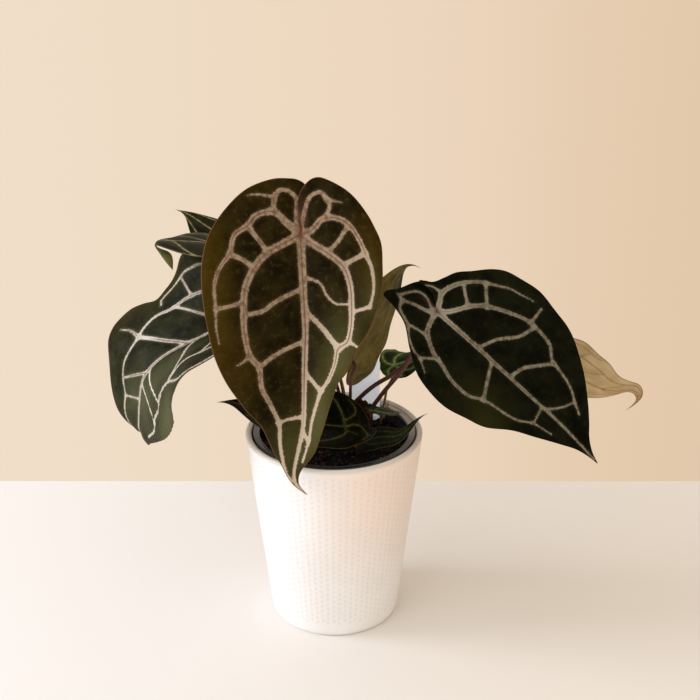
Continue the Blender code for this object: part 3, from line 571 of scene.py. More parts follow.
def makeLeafSkin():
    # Mixes two blade colours by noise and the stored marks, some of which are painted sheen and painted
    # light, lays the veins over them where the vein gap plus a ragged noise is below zero, then the line down
    # the main veins, a few specks and the margin.
    inputs = [(label, "colour") for label in leafPaints] + [(label, "value") for label in leafNumbers]
    tree, given, result = newGroup("leafSkin", inputs, skinOutputs)
    plane = attribute(tree, "plane", "Vector")
    stored = ("veinGap", "coreGap", "rimGap", "veinRun")
    veinGap, coreGap, rimGap, run = (attribute(tree, name) for name in stored)
    inputs = {0: times(tree, run, 1.1), 1: times(tree, veinGap, 0.35)}
    away = put(tree, "ShaderNodeCombineXYZ", inputs).outputs[0]
    teeth = calc(tree, "ADD", times(tree, noise(tree, away, 1.0, 3.0, 0.7), 0.6),
                 times(tree, noise(tree, plane, 0.8, 3.0, 0.7), 0.6))
    teeth = times(tree, calc(tree, "SUBTRACT", teeth, 0.6), 1.4)
    broad = noise(tree, plane, 0.06, 2.0, 0.5)
    fine = noise(tree, plane, 2.4, 2.0, 0.6)
    side = noise(tree, plane, 0.25, 3.0, 0.6)
    barbs = calc(tree, "MINIMUM", teeth, 0.05)
    raggedGap = timesPlus(tree, barbs, times(tree, given["Ragged"], 3.0), veinGap)
    mask = ramp(tree, raggedGap, 0.12, -0.24)
    halo = times(tree, ramp(tree, raggedGap, 2.0, 0.0), given["Halo"])
    skin = blend(tree, ramp(tree, broad, 0.32, 0.68), given["Blade Dark"], given["Blade"])
    skin = tint(tree, skin, ramp(tree, side, 0.5, 0.78), 0.22, given["Pale Tone And Sheen"])
    skin = tint(tree, skin, ramp(tree, fine, 0.35, 0.75), 0.25, given["Blade Dark"])
    # Warm marks: on the front leaf's margins they are painted light shining through the blade, on the small
    # low back leaf its browned tip, and elsewhere a warmer patch of the blade.
    skin = blend(tree, attribute(tree, "warm"), skin, given["Warm"])
    # Painted sheen: the stored sheen marks turn the blade to the pale paint where it faces the light.
    skin = blend(tree, attribute(tree, "pale"), skin, given["Pale Tone And Sheen"])
    skin = blend(tree, halo, skin, given["Vein Dark"])
    vein = blend(tree, ramp(tree, side, 0.34, 0.62), given["Vein Dark"], given["Vein"])
    # Painted light: the stored vein-light marks turn the veins to the lit vein paint where the blade faces
    # the light.
    vein = blend(tree, attribute(tree, "bright"), vein, given["Lit Vein"])
    painted = blend(tree, mask, skin, vein)
    coreEdge = calc(tree, "SUBTRACT", timesPlus(tree, teeth, 0.15, coreGap), given["Core Width"])
    painted = blend(tree, ramp(tree, coreEdge, 0.4, -0.15, 0.0, 0.75), painted, given["Core"])
    painted = blend(tree, attribute(tree, "stain"), painted, given["Core"])
    dots = scatter(tree, plane, 0.16)
    near = ramp(tree, timesPlus(tree, teeth, 0.12, dots["Distance"]), 0.06, 0.03)
    speck = times(tree, near, fewOf(tree, dots, 0.72))
    painted = tint(tree, painted, speck, given["Specks"], given["Vein"])
    rimEdge = calc(tree, "SUBTRACT", timesPlus(tree, teeth, 0.4, rimGap), given["Rim Width"])
    painted = blend(tree, ramp(tree, rimEdge, 0.2, -0.15), painted, given["Rim"])
    tree.links.new(painted, result["Colour"])
    roughness = timesPlus(tree, fine, 0.16, 0.36)
    tree.links.new(timesPlus(tree, mask, 0.12, roughness), result["Roughness"])
    ridges = timesPlus(tree, side, 1.2, times(tree, fine, 0.4))
    tree.links.new(timesPlus(tree, mask, 0.3, ridges), result["Height"])
    return tree


leafSkin = makeLeafSkin()


def leafMaterial(name, look):
    # The leaf group with one finish's paints and numbers.
    material, tree, shader = newMaterial(name, Specular_IOR_Level=0.04)
    paints, numbers = look
    values = dict(zip(leafPaints + leafNumbers, [colour(*paint) for paint in paints] + numbers))
    drawn = useGroup(tree, leafSkin, values)
    finishShader(tree, shader, drawn["Colour"], drawn["Roughness"], drawn["Height"], 0.00018, 0.6)
    return material


# Each finish: its paints, 0 to 255, and its numbers, in the order of leafPaints and leafNumbers.
topLooks = {
    "front": ([(40, 31, 5), (19, 12, 0), (76, 57, 3), (98, 97, 56), (156, 136, 112), (114, 92, 69),
               (200, 184, 162), (106, 62, 52), (112, 74, 48)], [1.3, 0.14, 0.35, 0.35, 0.4]),
    "right": ([(18, 20, 6), (4, 5, 0), (42, 42, 12), (50, 54, 22), (132, 124, 104), (94, 86, 68),
               (158, 152, 134), (84, 52, 42), (24, 20, 10)], [1.2, 0.08, 0.1, 0.25, 0.15]),
    "left": ([(40, 42, 20), (17, 17, 6), (44, 38, 8), (92, 94, 64), (184, 176, 158), (138, 130, 110),
              (218, 212, 200), (104, 62, 50), (96, 58, 48)], [1.1, 0.14, 0.35, 0.3, 0.2]),
    "back": ([(36, 37, 8), (15, 15, 0), (54, 50, 16), (72, 72, 34), (152, 144, 108), (106, 100, 66),
              (152, 144, 108), (104, 104, 56), (52, 50, 24)], [0.7, 0.12, 0.0, 0.25, 0.2]),
    "young": ([(40, 56, 14), (14, 24, 2), (70, 84, 26), (84, 98, 44), (132, 142, 98), (92, 106, 56),
               (132, 142, 98), (150, 168, 110), (60, 72, 28)], [0.9, 0.4, 0.0, 0.2, 0.1]),
    "low": ([(12, 15, 3), (2, 3, 0), (60, 68, 24), (66, 72, 36), (80, 80, 42), (52, 53, 24), (80, 80, 42),
             (96, 96, 48), (84, 72, 34)], [0.9, 0.25, 0.0, 0.2, 0.1]),
    "narrow": ([(22, 27, 13), (8, 11, 4), (66, 58, 30), (62, 70, 44), (66, 70, 42), (44, 49, 26),
                (66, 70, 42), (96, 96, 48), (76, 74, 46)], [0.8, 0.3, 0.0, 0.25, 0.1]),
    "tiny": ([(44, 58, 36), (22, 32, 18), (96, 62, 36), (92, 104, 74), (128, 130, 92), (92, 98, 62),
              (128, 130, 92), (150, 150, 110), (88, 72, 44)], [0.8, 0.3, 0.0, 0.25, 0.1]),
}
underLooks = {
    "olive": ([(128, 116, 62), (98, 88, 42), (26, 36, 8), (140, 138, 92), (134, 118, 76), (110, 96, 56),
               (134, 118, 76), (150, 108, 82), (92, 70, 34)], [0.5, 0.1, -0.1, 0.3, 0.0]),
    # The tan finish is painted light: a bright tan standing in for light shining through the blade from
    # behind.
    "tan": ([(206, 184, 142), (184, 160, 116), (206, 176, 122), (214, 196, 158), (180, 146, 106),
             (152, 114, 78), (180, 146, 106), (140, 84, 58), (96, 58, 34)], [0.4, 0.12, -0.1, 0.4, 0.0]),
}
topMaterials = {name: leafMaterial(name + "LeafTop", look) for name, look in topLooks.items()}
underMaterials = {name: leafMaterial(name + "LeafUnder", look) for name, look in underLooks.items()}
print("leaf finishes ready")


# The leaves. joint, aim, length, pitch, sweep, fold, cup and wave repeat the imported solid's values.
# veins: (width at start, width at end, points) in the leaf's own plane.

# What a leaf has where it gives nothing else, and most small leaves' pitch up to the middle.
usualLeaf = dict(lap=1.6, cup=[(-0.3, -10), (1, -10)], wave=(0.8, 3.0), thickness=0.55, puff=0.8, rib=0.6,
                 coreFrom=9.0, web=0.5, swell=0.0, puffReach=6.0, thinOver=2.5, ribReach=1.1)
plainPitch = [(-0.3, 6), (0, 5), (0.5, 0)]
# Soft marks on each leaf (x, y, reach across, reach along, strength): those that pale the blade and the veins
# are painted sheen and painted light where the blade faces the light; the warm ones on the front leaf's
# margins are painted light shining through it.
leaves = {
    "front": dict(
        joint=(-23.7, 0.0, 312.3), aim=(-85.5, -62.0, -6.0), length=192.0,
        finish=("front", "olive", "front_leaf"),
        right=[(0, 0), (-1.6, -3), (-2.6, -8), (-4, -15), (-6, -28), (-6, -37), (0, -41.3), (8, -42.2),
            (18, -41.7), (37, -34.6), (52.5, -21), (66, -1.5), (72, 18), (73, 38), (71.5, 59), (67, 85.6),
            (58, 105.6), (43, 126), (28, 147), (17.5, 161), (7.5, 171), (1.6, 181), (0, 192)],
        left=[(0, 0), (-1, -3), (-0.4, -8), (1.2, -14), (1, -25), (-2, -33), (-9, -40), (-15, -41.3),
            (-24, -37.5), (-37, -27.8), (-50, -9.4), (-57.5, 8), (-58, 25), (-56.5, 44.4), (-49, 64.8),
            (-36.5, 83.5), (-26, 104), (-18.6, 124.3), (-14, 142), (-12, 155), (-5.5, 169), (-2, 181),
            (0, 192)],
        lap=2.0, grid=(220, 60), pitch=[(-0.3, 8), (0, 5), (0.5, 0), (0.8, -5), (1, -2)], sweep=[(0, 0),
            (0.3, -1), (0.42, 4), (0.65, 2), (0.78, 14), (0.86, 14), (0.92, -10), (0.96, -45), (1, -55)],
        foldRight=[(-0.3, 4), (0, 6), (0.6, 8), (1, 22)], foldLeft=[(-0.3, 14), (0, 18), (0.6, 20),
            (1, 22)], cup=[(-0.3, -10), (0.5, -12), (1, -8)], wave=(1.0, 4.0), thickness=0.6, puff=0.9,
        rib=0.9, coreFrom=4.0, web=1.0, swell=0.25, bright=[(-34, 82, 22, 44, 1.0), (-12, 140, 24, 52, 1.0),
            (10, 166, 20, 30, 0.9), (-48, 30, 12, 30, 0.5)], stain=[(0, -8, 1.8, 12, 0.7),
            (0, 0, 3, 3.5, 0.6), (-4, -16, 1.6, 10, 0.35)], warm=[(68, 40, 15, 60, 0.6),
            (50, 100, 16, 26, 0.3), (-52, 20, 10, 34, 0.45), (30, -34, 30, 10, 0.2)],
        pale=[(-28, 92, 14, 28, 0.6), (-12, 132, 9, 26, 0.6), (-50, 50, 10, 18, 0.3),
            (4, 158, 16, 26, 0.4)],
        veins=dict(
            mid=[(6.0, 1.5, [(0, -1), (0, 40), (0, 80), (0, 134), (0, 166), (0, 190)])],
            right=[(2.0, 2.6, [(1, -26), (2.4, -18), (2.2, -9), (0.4, -1)]), (5.4, 1.8, [(0, 0), (12, 6),
                (26, 14), (35, 24), (42, 38), (44, 52), (44, 73), (40, 89), (33, 98), (31, 111), (24, 124),
                (18, 138), (15, 152), (8, 169), (3, 177)]), (5.2, 0.5, [(0, 0), (10, -9), (19, -17),
                (32, -14), (38, -7), (48, 0), (52, 13), (60, 24), (64, 36), (64, 51), (64, 69), (62, 82)]),
                (3.0, 2.4, [(19, -17), (18, -26), (14, -33), (6, -32), (1, -26)]), (2.0, 0.4, [(18, -28),
                (31, -30), (38, -29)]), (3.0, 2.6, [(38, -6), (32, 2), (25, 12)]), (3.0, 2.6, [(52, 14),
                (44, 17), (36, 23)]), (2.2, 2.2, [(64, 52), (56, 51), (44, 48)]), (1.6, 0.4, [(40, 89),
                (44, 94), (50, 97)]), (2.6, 2.6, [(0, 39), (20, 48), (31, 55), (43, 57)]),
                (2.4, 2.4, [(0, 77), (18, 86), (33, 97)]), (2.2, 1.6, [(0, 131), (12, 134), (19, 138)])],
            left=[(5.0, 0.9, [(0, 0), (-7, 6), (-19, 15), (-30, 26), (-34, 40), (-34, 56), (-33, 67),
                (-30, 78), (-24, 82), (-22, 93), (-18, 104), (-12, 114), (-9, 123), (-6, 135), (-6, 148),
                (-5, 163)]), (4.4, 1.2, [(0, 0), (-9, -3), (-16, -10), (-26, -10), (-36, -4), (-42, 6),
                (-46, 17), (-50, 28), (-51, 38), (-50, 47), (-47, 56)]), (2.6, 2.2, [(0, -2), (-4, -18),
                (-8, -27), (-16, -30), (-19, -26), (-22, -20), (-18, -10)]), (1.8, 0.3, [(-20, -24),
                (-31, -21)]), (2.4, 2.4, [(-34, -3), (-26, 8), (-19, 14)]), (3.0, 2.6, [(-46, 17),
                (-31, 24)]), (2.0, 1.6, [(-47, 56), (-34, 59)]), (1.8, 1.2, [(-25, 82), (-32, 78),
                (-38, 81)]), (1.6, 0.9, [(0, 31), (-12, 36), (-17, 46), (-23, 52), (-31, 53)]),
                (2.6, 3.2, [(0, 55), (-12, 68), (-24, 82)]), (2.2, 2.0, [(0, 99), (-12, 113)]),
                (1.6, 1.2, [(0, 142), (-6, 148)])])),
    "right": dict(
        joint=(76.4, 10.0, 248.2), aim=(-20.0, -39.0, 40.0), length=166.0,
        finish=("right", "olive", "dark_leaf"),
        right=[(0, 0), (-6, -4), (-11.5, -11), (-15, -19.5), (-8, -26), (6.8, -32.7), (13.8, -37.8),
            (18, -37.5), (20, -26), (25, -11.6), (37, 3), (48.3, 20), (53, 37.3), (53, 52), (49, 68),
            (44, 82.5), (31, 99.7), (22, 116), (12, 133.5), (5, 146), (1.8, 156), (0, 166)],
        left=[(0, 0), (-4, -5), (-8, -12), (-8.6, -25), (-14.7, -16.6), (-23, -12.5), (-32, -8.7), (-43, 0),
            (-54, 9.7), (-61, 20), (-65.5, 38), (-66, 52), (-63, 69), (-57, 89), (-44, 109), (-30, 126),
            (-16, 140.7), (-9.5, 147), (-3.5, 156), (0, 166)],
        lap=2.0, grid=(190, 56), pitch=[(-0.3, 8), (0, 5), (0.5, 0), (0.8, -5), (1, -6)], sweep=[(0, 0),
            (1, 0)], foldRight=[(-0.3, 4), (0, 8), (0.6, 10), (1, 20)], foldLeft=[(-0.3, 4), (0, 8),
            (0.6, 10), (1, 20)], cup=[(-0.3, -10), (0.5, -12), (1, -8)], wave=(0.8, 5.0), thickness=0.6,
        puff=0.9, rib=0.8, coreFrom=3.0, web=0.9, swell=0.15, bright=[(-4, 6, 12, 16, 0.8),
            (-20, 0, 16, 16, 0.4)], stain=[(-1, -8, 1.2, 9, 0.5), (0, 0, 2.4, 3, 0.6)],
        warm=[(34, 70, 20, 26, 0.5), (46, 84, 14, 12, 0.5)], pale=[(-56, 30, 10, 40, 0.12)],
        veins=dict(
            mid=[(3.8, 1.3, [(0, -1), (0, 40), (0, 90), (-1, 127), (0, 162)])],
            right=[(3.6, 0.8, [(0, 0), (10, 2), (18, 5), (23, 11), (28, 20), (30, 28), (34, 40), (35, 50),
                (34, 60), (30, 67), (27, 76), (25, 88), (22, 98), (15, 108), (13, 116), (11, 124)]),
                (3.4, 1.4, [(0, 0), (4, -3), (6, -8), (8, -16), (12, -24)]), (1.4, 0.8, [(12, -24),
                (10, -31)]), (1.8, 0.7, [(12, -24), (18, -22), (20, -18), (22, -13), (25, -8), (32, -1),
                (37, 8), (38, 14), (44, 24)]), (1.8, 1.4, [(9, -28), (2, -24), (-3, -19), (-3, -12),
                (1, -4)]), (1.8, 1.6, [(24, -9), (22, -2), (21, 7)]), (1.6, 1.6, [(38, 14), (29, 24)]),
                (2.2, 2.2, [(0, 55), (15, 62), (29, 69)]), (1.4, 0.8, [(0, 106), (15, 108)])],
            left=[(3.6, 1.2, [(0, 0), (-5, 6), (-12, 11), (-20, 16), (-27, 23), (-32, 31), (-38, 44),
                (-42, 56), (-42, 68), (-39, 80), (-32, 88), (-30, 98), (-26, 112), (-20, 122), (-16, 130)]),
                (4.0, 0.6, [(0, 0), (-7, -3), (-12, -6), (-22, -4), (-31, 1), (-40, 10), (-46, 20),
                (-52, 30), (-54, 39), (-57, 50)]), (1.6, 0.8, [(-12, -6), (-12, -13), (-9, -19)]),
                (2.0, 2.0, [(-30, 1), (-24, 8), (-19, 15)]), (2.2, 2.2, [(-42, 13), (-28, 26)]),
                (1.6, 2.0, [(-57, 57), (-42, 58)]), (2.0, 2.2, [(0, 41), (-14, 47), (-28, 58), (-41, 62)]),
                (2.2, 2.2, [(0, 73), (-12, 76), (-20, 82), (-31, 91)]), (1.6, 1.0, [(0, 108), (-11, 117),
                (-20, 121)])])),
    "left": dict(
        joint=(-61.4, 24.0, 248.7), aim=(209.0, -38.0, -19.5), length=182.0,
        finish=("left", "tan", "left_leaf"),
        right=[(0, 0), (2, -9), (6, -20), (15, -25), (29, -24), (46, -17), (61.5, -5), (68.5, 16),
            (69.5, 44), (62, 64), (57.5, 72.5), (64, 81), (69.5, 90), (68, 100), (62, 111), (52, 125),
            (38, 143), (24, 159), (10, 172), (0, 182)],
        left=[(0, 0), (-2, -8), (-6, -17), (-14, -21), (-25, -18), (-37, -7), (-50, 14), (-60.5, 36),
            (-66, 55), (-62, 66), (-58.5, 76), (-60, 88), (-58, 102), (-50, 120), (-36, 137), (-20, 154),
            (-7, 171), (0, 182)],
        lap=2.0, grid=(210, 60), pitch=[(-0.3, 4), (0, 4), (0.36, 0), (0.5, -17), (0.64, -53), (0.82, -58),
            (0.9, -95), (1, -185)], sweep=[(0, 0), (0.32, 26), (0.64, 3), (1, 3)], foldRight=[(-0.3, 5),
            (0, 26), (0.46, -5), (1, 15)], foldLeft=[(-0.3, 42), (0.27, 44), (0.55, 14), (1, 10)],
        cup=[(-0.3, -10), (0.5, -12), (1, -8)], wave=(0.8, 5.0), thickness=0.6, puff=1.0, rib=0.8,
        coreFrom=1.8, web=0.9, swell=0.15, bright=[(34, 74, 16, 20, 0.9), (-20, 90, 20, 60, 0.8)],
        warm=[(66, 60, 14, 26, 0.7), (64, 96, 12, 30, 0.5), (-30, 150, 30, 30, 0.5)],
        pale=[(-22, 70, 14, 22, 0.35), (-14, 112, 16, 26, 0.5), (8, 130, 16, 24, 0.35),
            (-52, 106, 16, 34, 0.8)], pleats=[(4.6, 0.5, -40, 108, 22, 26, 0.5)],
        veins=dict(
            mid=[(3.6, 1.6, [(0, -1), (0, 60), (0, 94), (0, 126), (0, 152), (0, 178)])],
            right=[(2.8, 1.3, [(0, 0), (18, 10), (30, 22), (36, 42), (38, 54), (38, 64), (41, 76), (38, 86),
                (34, 91), (31, 100), (29, 112), (26, 124), (20, 134), (18, 148), (12, 162)]),
                (2.4, 1.2, [(0, 0), (16, -12), (34, -8), (50, 10), (55, 27), (58, 50), (53, 69), (48, 70)]),
                (2.0, 2.0, [(57, 46), (36, 41)]), (2.6, 2.6, [(0, 57), (13, 74), (34, 91)]),
                (1.8, 1.6, [(0, 20), (16, 37), (38, 61)]), (1.8, 1.4, [(0, 98), (25, 122)]),
                (1.6, 1.4, [(0, 124), (19, 135)]), (1.8, 0.7, [(36, 91), (47, 94), (57, 100)])],
            left=[(2.6, 1.4, [(0, 50), (-10, 56), (-30, 63), (-36, 76), (-32, 86), (-31, 96), (-34, 106),
                (-30, 118), (-30, 130), (-20, 146)]), (2.6, 2.0, [(0, 0), (-14, 6), (-30, 18), (-40, 38),
                (-38, 56), (-36, 76)]), (2.2, 1.4, [(0, 0), (-14, -10), (-34, -2), (-50, 20), (-59, 38),
                (-62, 56), (-38, 76)]), (1.5, 1.0, [(0, 93), (-11, 99), (-30, 101)]), (1.5, 1.0, [(0, 108),
                (-14, 113), (-30, 122)]), (1.6, 1.6, [(0, 24), (-20, 32), (-39, 44)])])),
    "back_left_high": dict(
        joint=(-56.3, 80.0, 262.4), aim=(157.2, 19.1, -4.0), length=85.6,
        finish=("back", "olive", "dark_leaf"),
        grid=(110, 34), width=(30.0, 34.0), lobe=(20.0, 20.0), pitch=plainPitch + [(0.8, -4), (1, -13)],
        sweep=[(0, 0), (0.4, 3), (0.75, 15), (1, 0)], foldRight=[(-0.3, 8), (0.5, 4), (1, 16)],
        foldLeft=[(-0.3, 8), (0.5, -3), (1, 16)], puff=0.7,
        veins=dict(
            mid=[(2.2, 1.0, [(0, -1), (0, 50), (0, 84)])],
            right=[(1.6, 0.8, [(0, 0), (12, 10), (18, 28), (15, 46), (8, 64), (3, 78)]),
                (1.3, 1.2, [(0, 14), (17, 24)]), (1.3, 1.2, [(0, 38), (14, 48)])],
            left=[(1.6, 0.8, [(0, 0), (-14, 10), (-20, 28), (-16, 44), (-9, 62), (-3, 78)]),
                (1.3, 1.2, [(0, 16), (-19, 26)]), (1.3, 1.2, [(0, 38), (-14, 50)]), (1.2, 0.8, [(-14, 10),
                (-24, 6), (-29, 18), (-25, 34)])])),
    "back_left_low": dict(
        joint=(-54.5, 55.0, 278.6), aim=(197.9, 12.4, 16.1), length=108.4,
        finish=("back", "olive", "dark_leaf"),
        grid=(130, 36), width=(36.0, 36.0), lobe=(26.0, 26.0), point=(0.3, 0.5), pitch=[(-0.3, 8), (0, 6),
            (0.5, -2), (0.72, -6), (0.82, -132), (1, -134)], sweep=[(0, 0), (0.4, 0), (0.75, 20), (1, -12)],
        foldRight=[(-0.3, 8), (0.5, 15), (0.74, 4), (1, 0)], foldLeft=[(-0.3, 8), (0, 6), (0.5, -16),
            (0.8, -6), (0.9, -40), (1, -60)], stain=[(0, 104, 30, 14, 0.8)],
        veins=dict(
            mid=[(2.4, 1.0, [(0, -1), (0, 50), (0, 104)])],
            right=[(1.8, 0.8, [(0, 0), (18, 14), (26, 34), (24, 60), (16, 78), (8, 94)]),
                (1.6, 1.2, [(0, 20), (4, 44), (12, 54), (20, 66)]), (1.4, 1.0, [(0, 73), (6, 78),
                (13, 82)])],
            left=[(1.8, 0.8, [(0, 0), (-18, 14), (-27, 34), (-28, 56), (-22, 74), (-12, 92)]),
                (1.4, 1.0, [(0, 30), (-12, 36), (-26, 38)]), (2.0, 1.4, [(0, 73), (-6, 68), (-18, 63),
                (-28, 57)])])),
    "back_centre": dict(
        joint=(14.1, 12.0, 206.4), aim=(38.3, 55.6, -77.7), length=97.8,
        finish=("back", "olive", "dark_leaf"),
        grid=(120, 36), width=(36.0, 37.0), lobe=(18.0, 18.0), pitch=plainPitch + [(0.8, -28), (1, -100)],
        sweep=[(0, 0), (0.4, -8), (0.75, 18), (1, 0)], foldRight=[(-0.3, 8), (0.5, 8), (1, 16)],
        foldLeft=[(-0.3, 8), (0.5, 10), (1, 16)], rib=0.7, coreFrom=2.0, veinWidth=1.9,
        warm=[(-16, 72, 15, 18, 1.0)]),
    "young": dict(
        joint=(47.0, 57.0, 182.4), aim=(1.7, 12.6, 21.6), length=27.0,
        finish=("young", "olive", "young_leaf"),
        grid=(60, 24), width=(15.0, 21.0), lobe=(12.0, 12.0), notch=(-0.34, -0.14),
        pitch=plainPitch + [(0.8, 0), (1, -8)], sweep=[(0, 0), (0.4, -12), (0.75, -27), (1, 0)],
        foldRight=[(-0.3, 8), (0.5, -3), (1, 16)], foldLeft=[(-0.3, 8), (0.5, -16), (1, 16)],
        wave=(0.4, 3.0), thickness=0.5, puff=0.9, rib=0.4,
        veins=dict(
            mid=[(1.3, 0.8, [(0, -1), (0, 14), (0, 26)])],
            right=[(1.2, 0.8, [(0, 0), (6, 4), (9, 10), (6, 17)]), (1.1, 0.7, [(0, -1), (5, -6), (11, -4),
                (13, 4)])],
            left=[(2.0, 1.4, [(0, 0), (-7, 1), (-13, 7), (-16, 13)]), (1.6, 1.0, [(0, -1), (-5, -7),
                (-14, -7), (-18, -1), (-18, 6)])])),
    "back_right": dict(
        joint=(143.2, 55.0, 199.1), aim=(0.1, -30.8, -44.4), length=129.3,
        finish=("back", "tan", "back_right_leaf"),
        grid=(160, 42), width=(44.0, 40.0), lobe=(30.0, 30.0), pitch=plainPitch + [(0.78, 33), (0.9, -103),
            (1, -128)], sweep=[(0, 0), (0.4, 0), (0.75, 7), (1, 0)], foldRight=[(-0.3, 8), (0.5, 16),
            (1, 16)], foldLeft=[(-0.3, 8), (0.5, -3), (1, 16)], wave=(1.0, 4.0), thickness=0.5, puff=0.9,
        coreFrom=2.0, veinWidth=2.0),
    "low_front": dict(
        joint=(8.4, -18.0, 166.1), aim=(177.0, -1.5, -20.0), length=103.0,
        finish=("low", "olive", "dark_leaf"),
        grid=(130, 38), width=(29.0, 34.0), lobe=(18.5, 23.5), notch=(-0.02, 0.06), bulge=(0.5, 0.73),
        pitch=plainPitch + [(0.8, 0), (1, -8)], sweep=[(0, 0), (0.4, 16), (0.75, 24), (1, 0)],
        foldRight=[(-0.3, 26), (0.5, 22), (1, 8)], foldLeft=[(-0.3, 24), (0.5, 22), (1, 12)],
        cup=[(-0.3, -10), (1, -8)],
        veins=dict(
            mid=[(1.9, 0.9, [(0, -1), (0, 50), (0, 98)])],
            right=[(2.0, 1.0, [(0, 0), (8, 2), (14, 5), (21, 10), (24, 16), (26, 32), (21, 50), (11, 70)]),
                (1.5, 0.6, [(5, 1), (8, -4), (11, -7), (17, -6), (22, -1)]), (1.8, 1.3, [(0, 0), (2.6, -7),
                (1, -12)]), (1.4, 1.2, [(0, 30), (12, 36), (24, 42)])],
            left=[(2.0, 1.0, [(0, 0), (-6, -1), (-12, 0), (-22, 9), (-27, 18), (-28, 34), (-21, 54),
                (-10, 74)]), (1.5, 0.7, [(-0.6, -12), (-8, -15), (-16, -17), (-22, -13)]),
                (1.2, 0.8, [(-6, -1), (-14, -9)]), (1.1, 0.6, [(-12, -16), (-15, -21)]),
                (1.4, 1.2, [(0, 24), (-14, 28), (-27, 34)])])),
    "low_right": dict(
        joint=(22.5, -16.0, 152.5), aim=(-22.6, 33.0, 35.8), length=64.0,
        finish=("narrow", "olive", "dark_leaf"),
        grid=(90, 18), width=(10.5, 8.5), lobe=(9.0, 9.0), pitch=plainPitch + [(0.8, 0), (1, -1)],
        sweep=[(0, 0), (0.4, 23), (0.75, -30), (1, 0)], foldRight=[(-0.3, 8), (0.5, 8), (1, 16)],
        foldLeft=[(-0.3, 8), (0.5, 8), (1, 16)], wave=(0.3, 3.0), thickness=0.5, puff=0.5, rib=0.4,
        veins=dict(
            mid=[(1.0, 0.5, [(0, -1), (0, 30), (0, 60)])],
            right=[(0.6, 0.3, [(0, 0), (5, 8), (5, 26), (2, 44)])],
            left=[(0.6, 0.3, [(0, 0), (-4, 8), (-4, 26), (-2, 44)])])),
    "low_back": dict(
        joint=(28.5, 9.0, 166.0), aim=(10.0, -14.0, -7.9), length=27.5,
        finish=("tiny", "olive", "dark_leaf"),
        grid=(56, 18), width=(9.5, 8.5), lobe=(5.0, 5.0), pitch=plainPitch + [(0.8, 5), (1, -17)],
        sweep=[(0, 0), (0.4, 7), (0.75, -40), (1, 0)], foldRight=[(-0.3, 8), (0.5, 8), (1, 16)],
        foldLeft=[(-0.3, 8), (0.5, 17), (1, 16)], wave=(0.4, 3.0), thickness=0.5, puff=0.5, rib=0.4,
        warm=[(0, 27, 9, 4, 1.0)],
        veins=dict(
            mid=[(2.6, 1.2, [(0, -1), (0, 12), (0, 26)])],
            right=[(0.9, 0.5, [(0, 2), (5, 6), (4, 14)])],
            left=[(0.9, 0.5, [(0, 2), (-5, 6), (-4, 14)])])),
}
for leafName, leafValues in leaves.items():
    top, under, slotName = leafValues["finish"]
    makeBlade(leafName, {**usualLeaf, **leafValues}, [topMaterials[top], underMaterials[under]])


# Stalks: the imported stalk's own path, as a finer tube that runs up into the blade.

bladeThickness = 0.8
fitGap = 0.3

stalks = {
    "front": dict(
        points=[(13.2, 23.4, 125), (11, 22.8, 142), (1, 22.5, 170), (-14, 23.5, 222), (-23.5, 22, 280)],
        radius=(1.7, 1.35), knuckle=1.9, hook=15.0),
    "right": dict(
        points=[(26.2, 21.6, 125), (26.2, 21.6, 145), (27.6, 21.4, 159), (35.6, 21, 173), (53.6, 18.5, 199),
                (68.5, 20, 229)],
        radius=(1.7, 1.65), knuckle=1.9, hook=13.0),
    "left": dict(
        points=[(9, 27, 125), (7, 27.2, 146), (-8, 31, 180), (-35, 37, 218), (-53, 37, 236)],
        radius=(1.6, 1.3), knuckle=1.8, hook=11.0),
    "back_left_high": dict(
        points=[(9, 38, 125), (7, 40, 150), (-8, 52, 196), (-34, 70, 236), (-54, 79, 250)],
        radius=(1.5, 1.2), knuckle=1.6, hook=9.0),
    "back_left_low": dict(
        points=[(9.4, 32.6, 125), (8.6, 33.2, 150), (4.5, 36.5, 180), (-22, 48, 234), (-48, 54, 264)],
        radius=(1.5, 1.2), knuckle=1.6, hook=9.0),
    "back_centre": dict(
        points=[(15.2, 18.6, 125), (14.4, 17.2, 146), (12.6, 12.5, 166), (12.4, 8, 184), (13.2, 8.6, 197)],
        radius=(1.4, 1.1), knuckle=1.3, hook=4.0, lean=50.0),
    "young": dict(
        points=[(36.2, 34, 125), (36.6, 34.8, 146), (39, 41, 157.5), (41.5, 48, 167)],
        radius=(1.1, 0.9), knuckle=1.0, hook=6.0),
    "back_right": dict(
        points=[(14.6, 32, 125), (14.2, 32, 150), (14.8, 32, 159.4), (21.4, 32.6, 167.4), (31.4, 34, 175.8),
                (46.2, 36, 184.6), (60, 38.5, 195.5), (92, 43, 206), (126, 45, 196)],
        radius=(1.8, 1.5), knuckle=1.8, hook=11.0),
    "low_front": dict(
        points=[(19.8, 17.2, 125), (19.2, 14.5, 143), (14, -4, 152)],
        radius=(1.3, 1.1), knuckle=1.4, hook=7.0),
    "low_right": dict(
        points=[(24.6, 17, 125), (25, 12, 142), (26.5, -4, 146)],
        radius=(1.0, 0.9), knuckle=1.1, hook=4.0),
    "low_back": dict(
        points=[(29.5, 17.5, 125), (29, 15, 146)],
        radius=(1.0, 0.9), knuckle=1.1, hook=5.0),
}


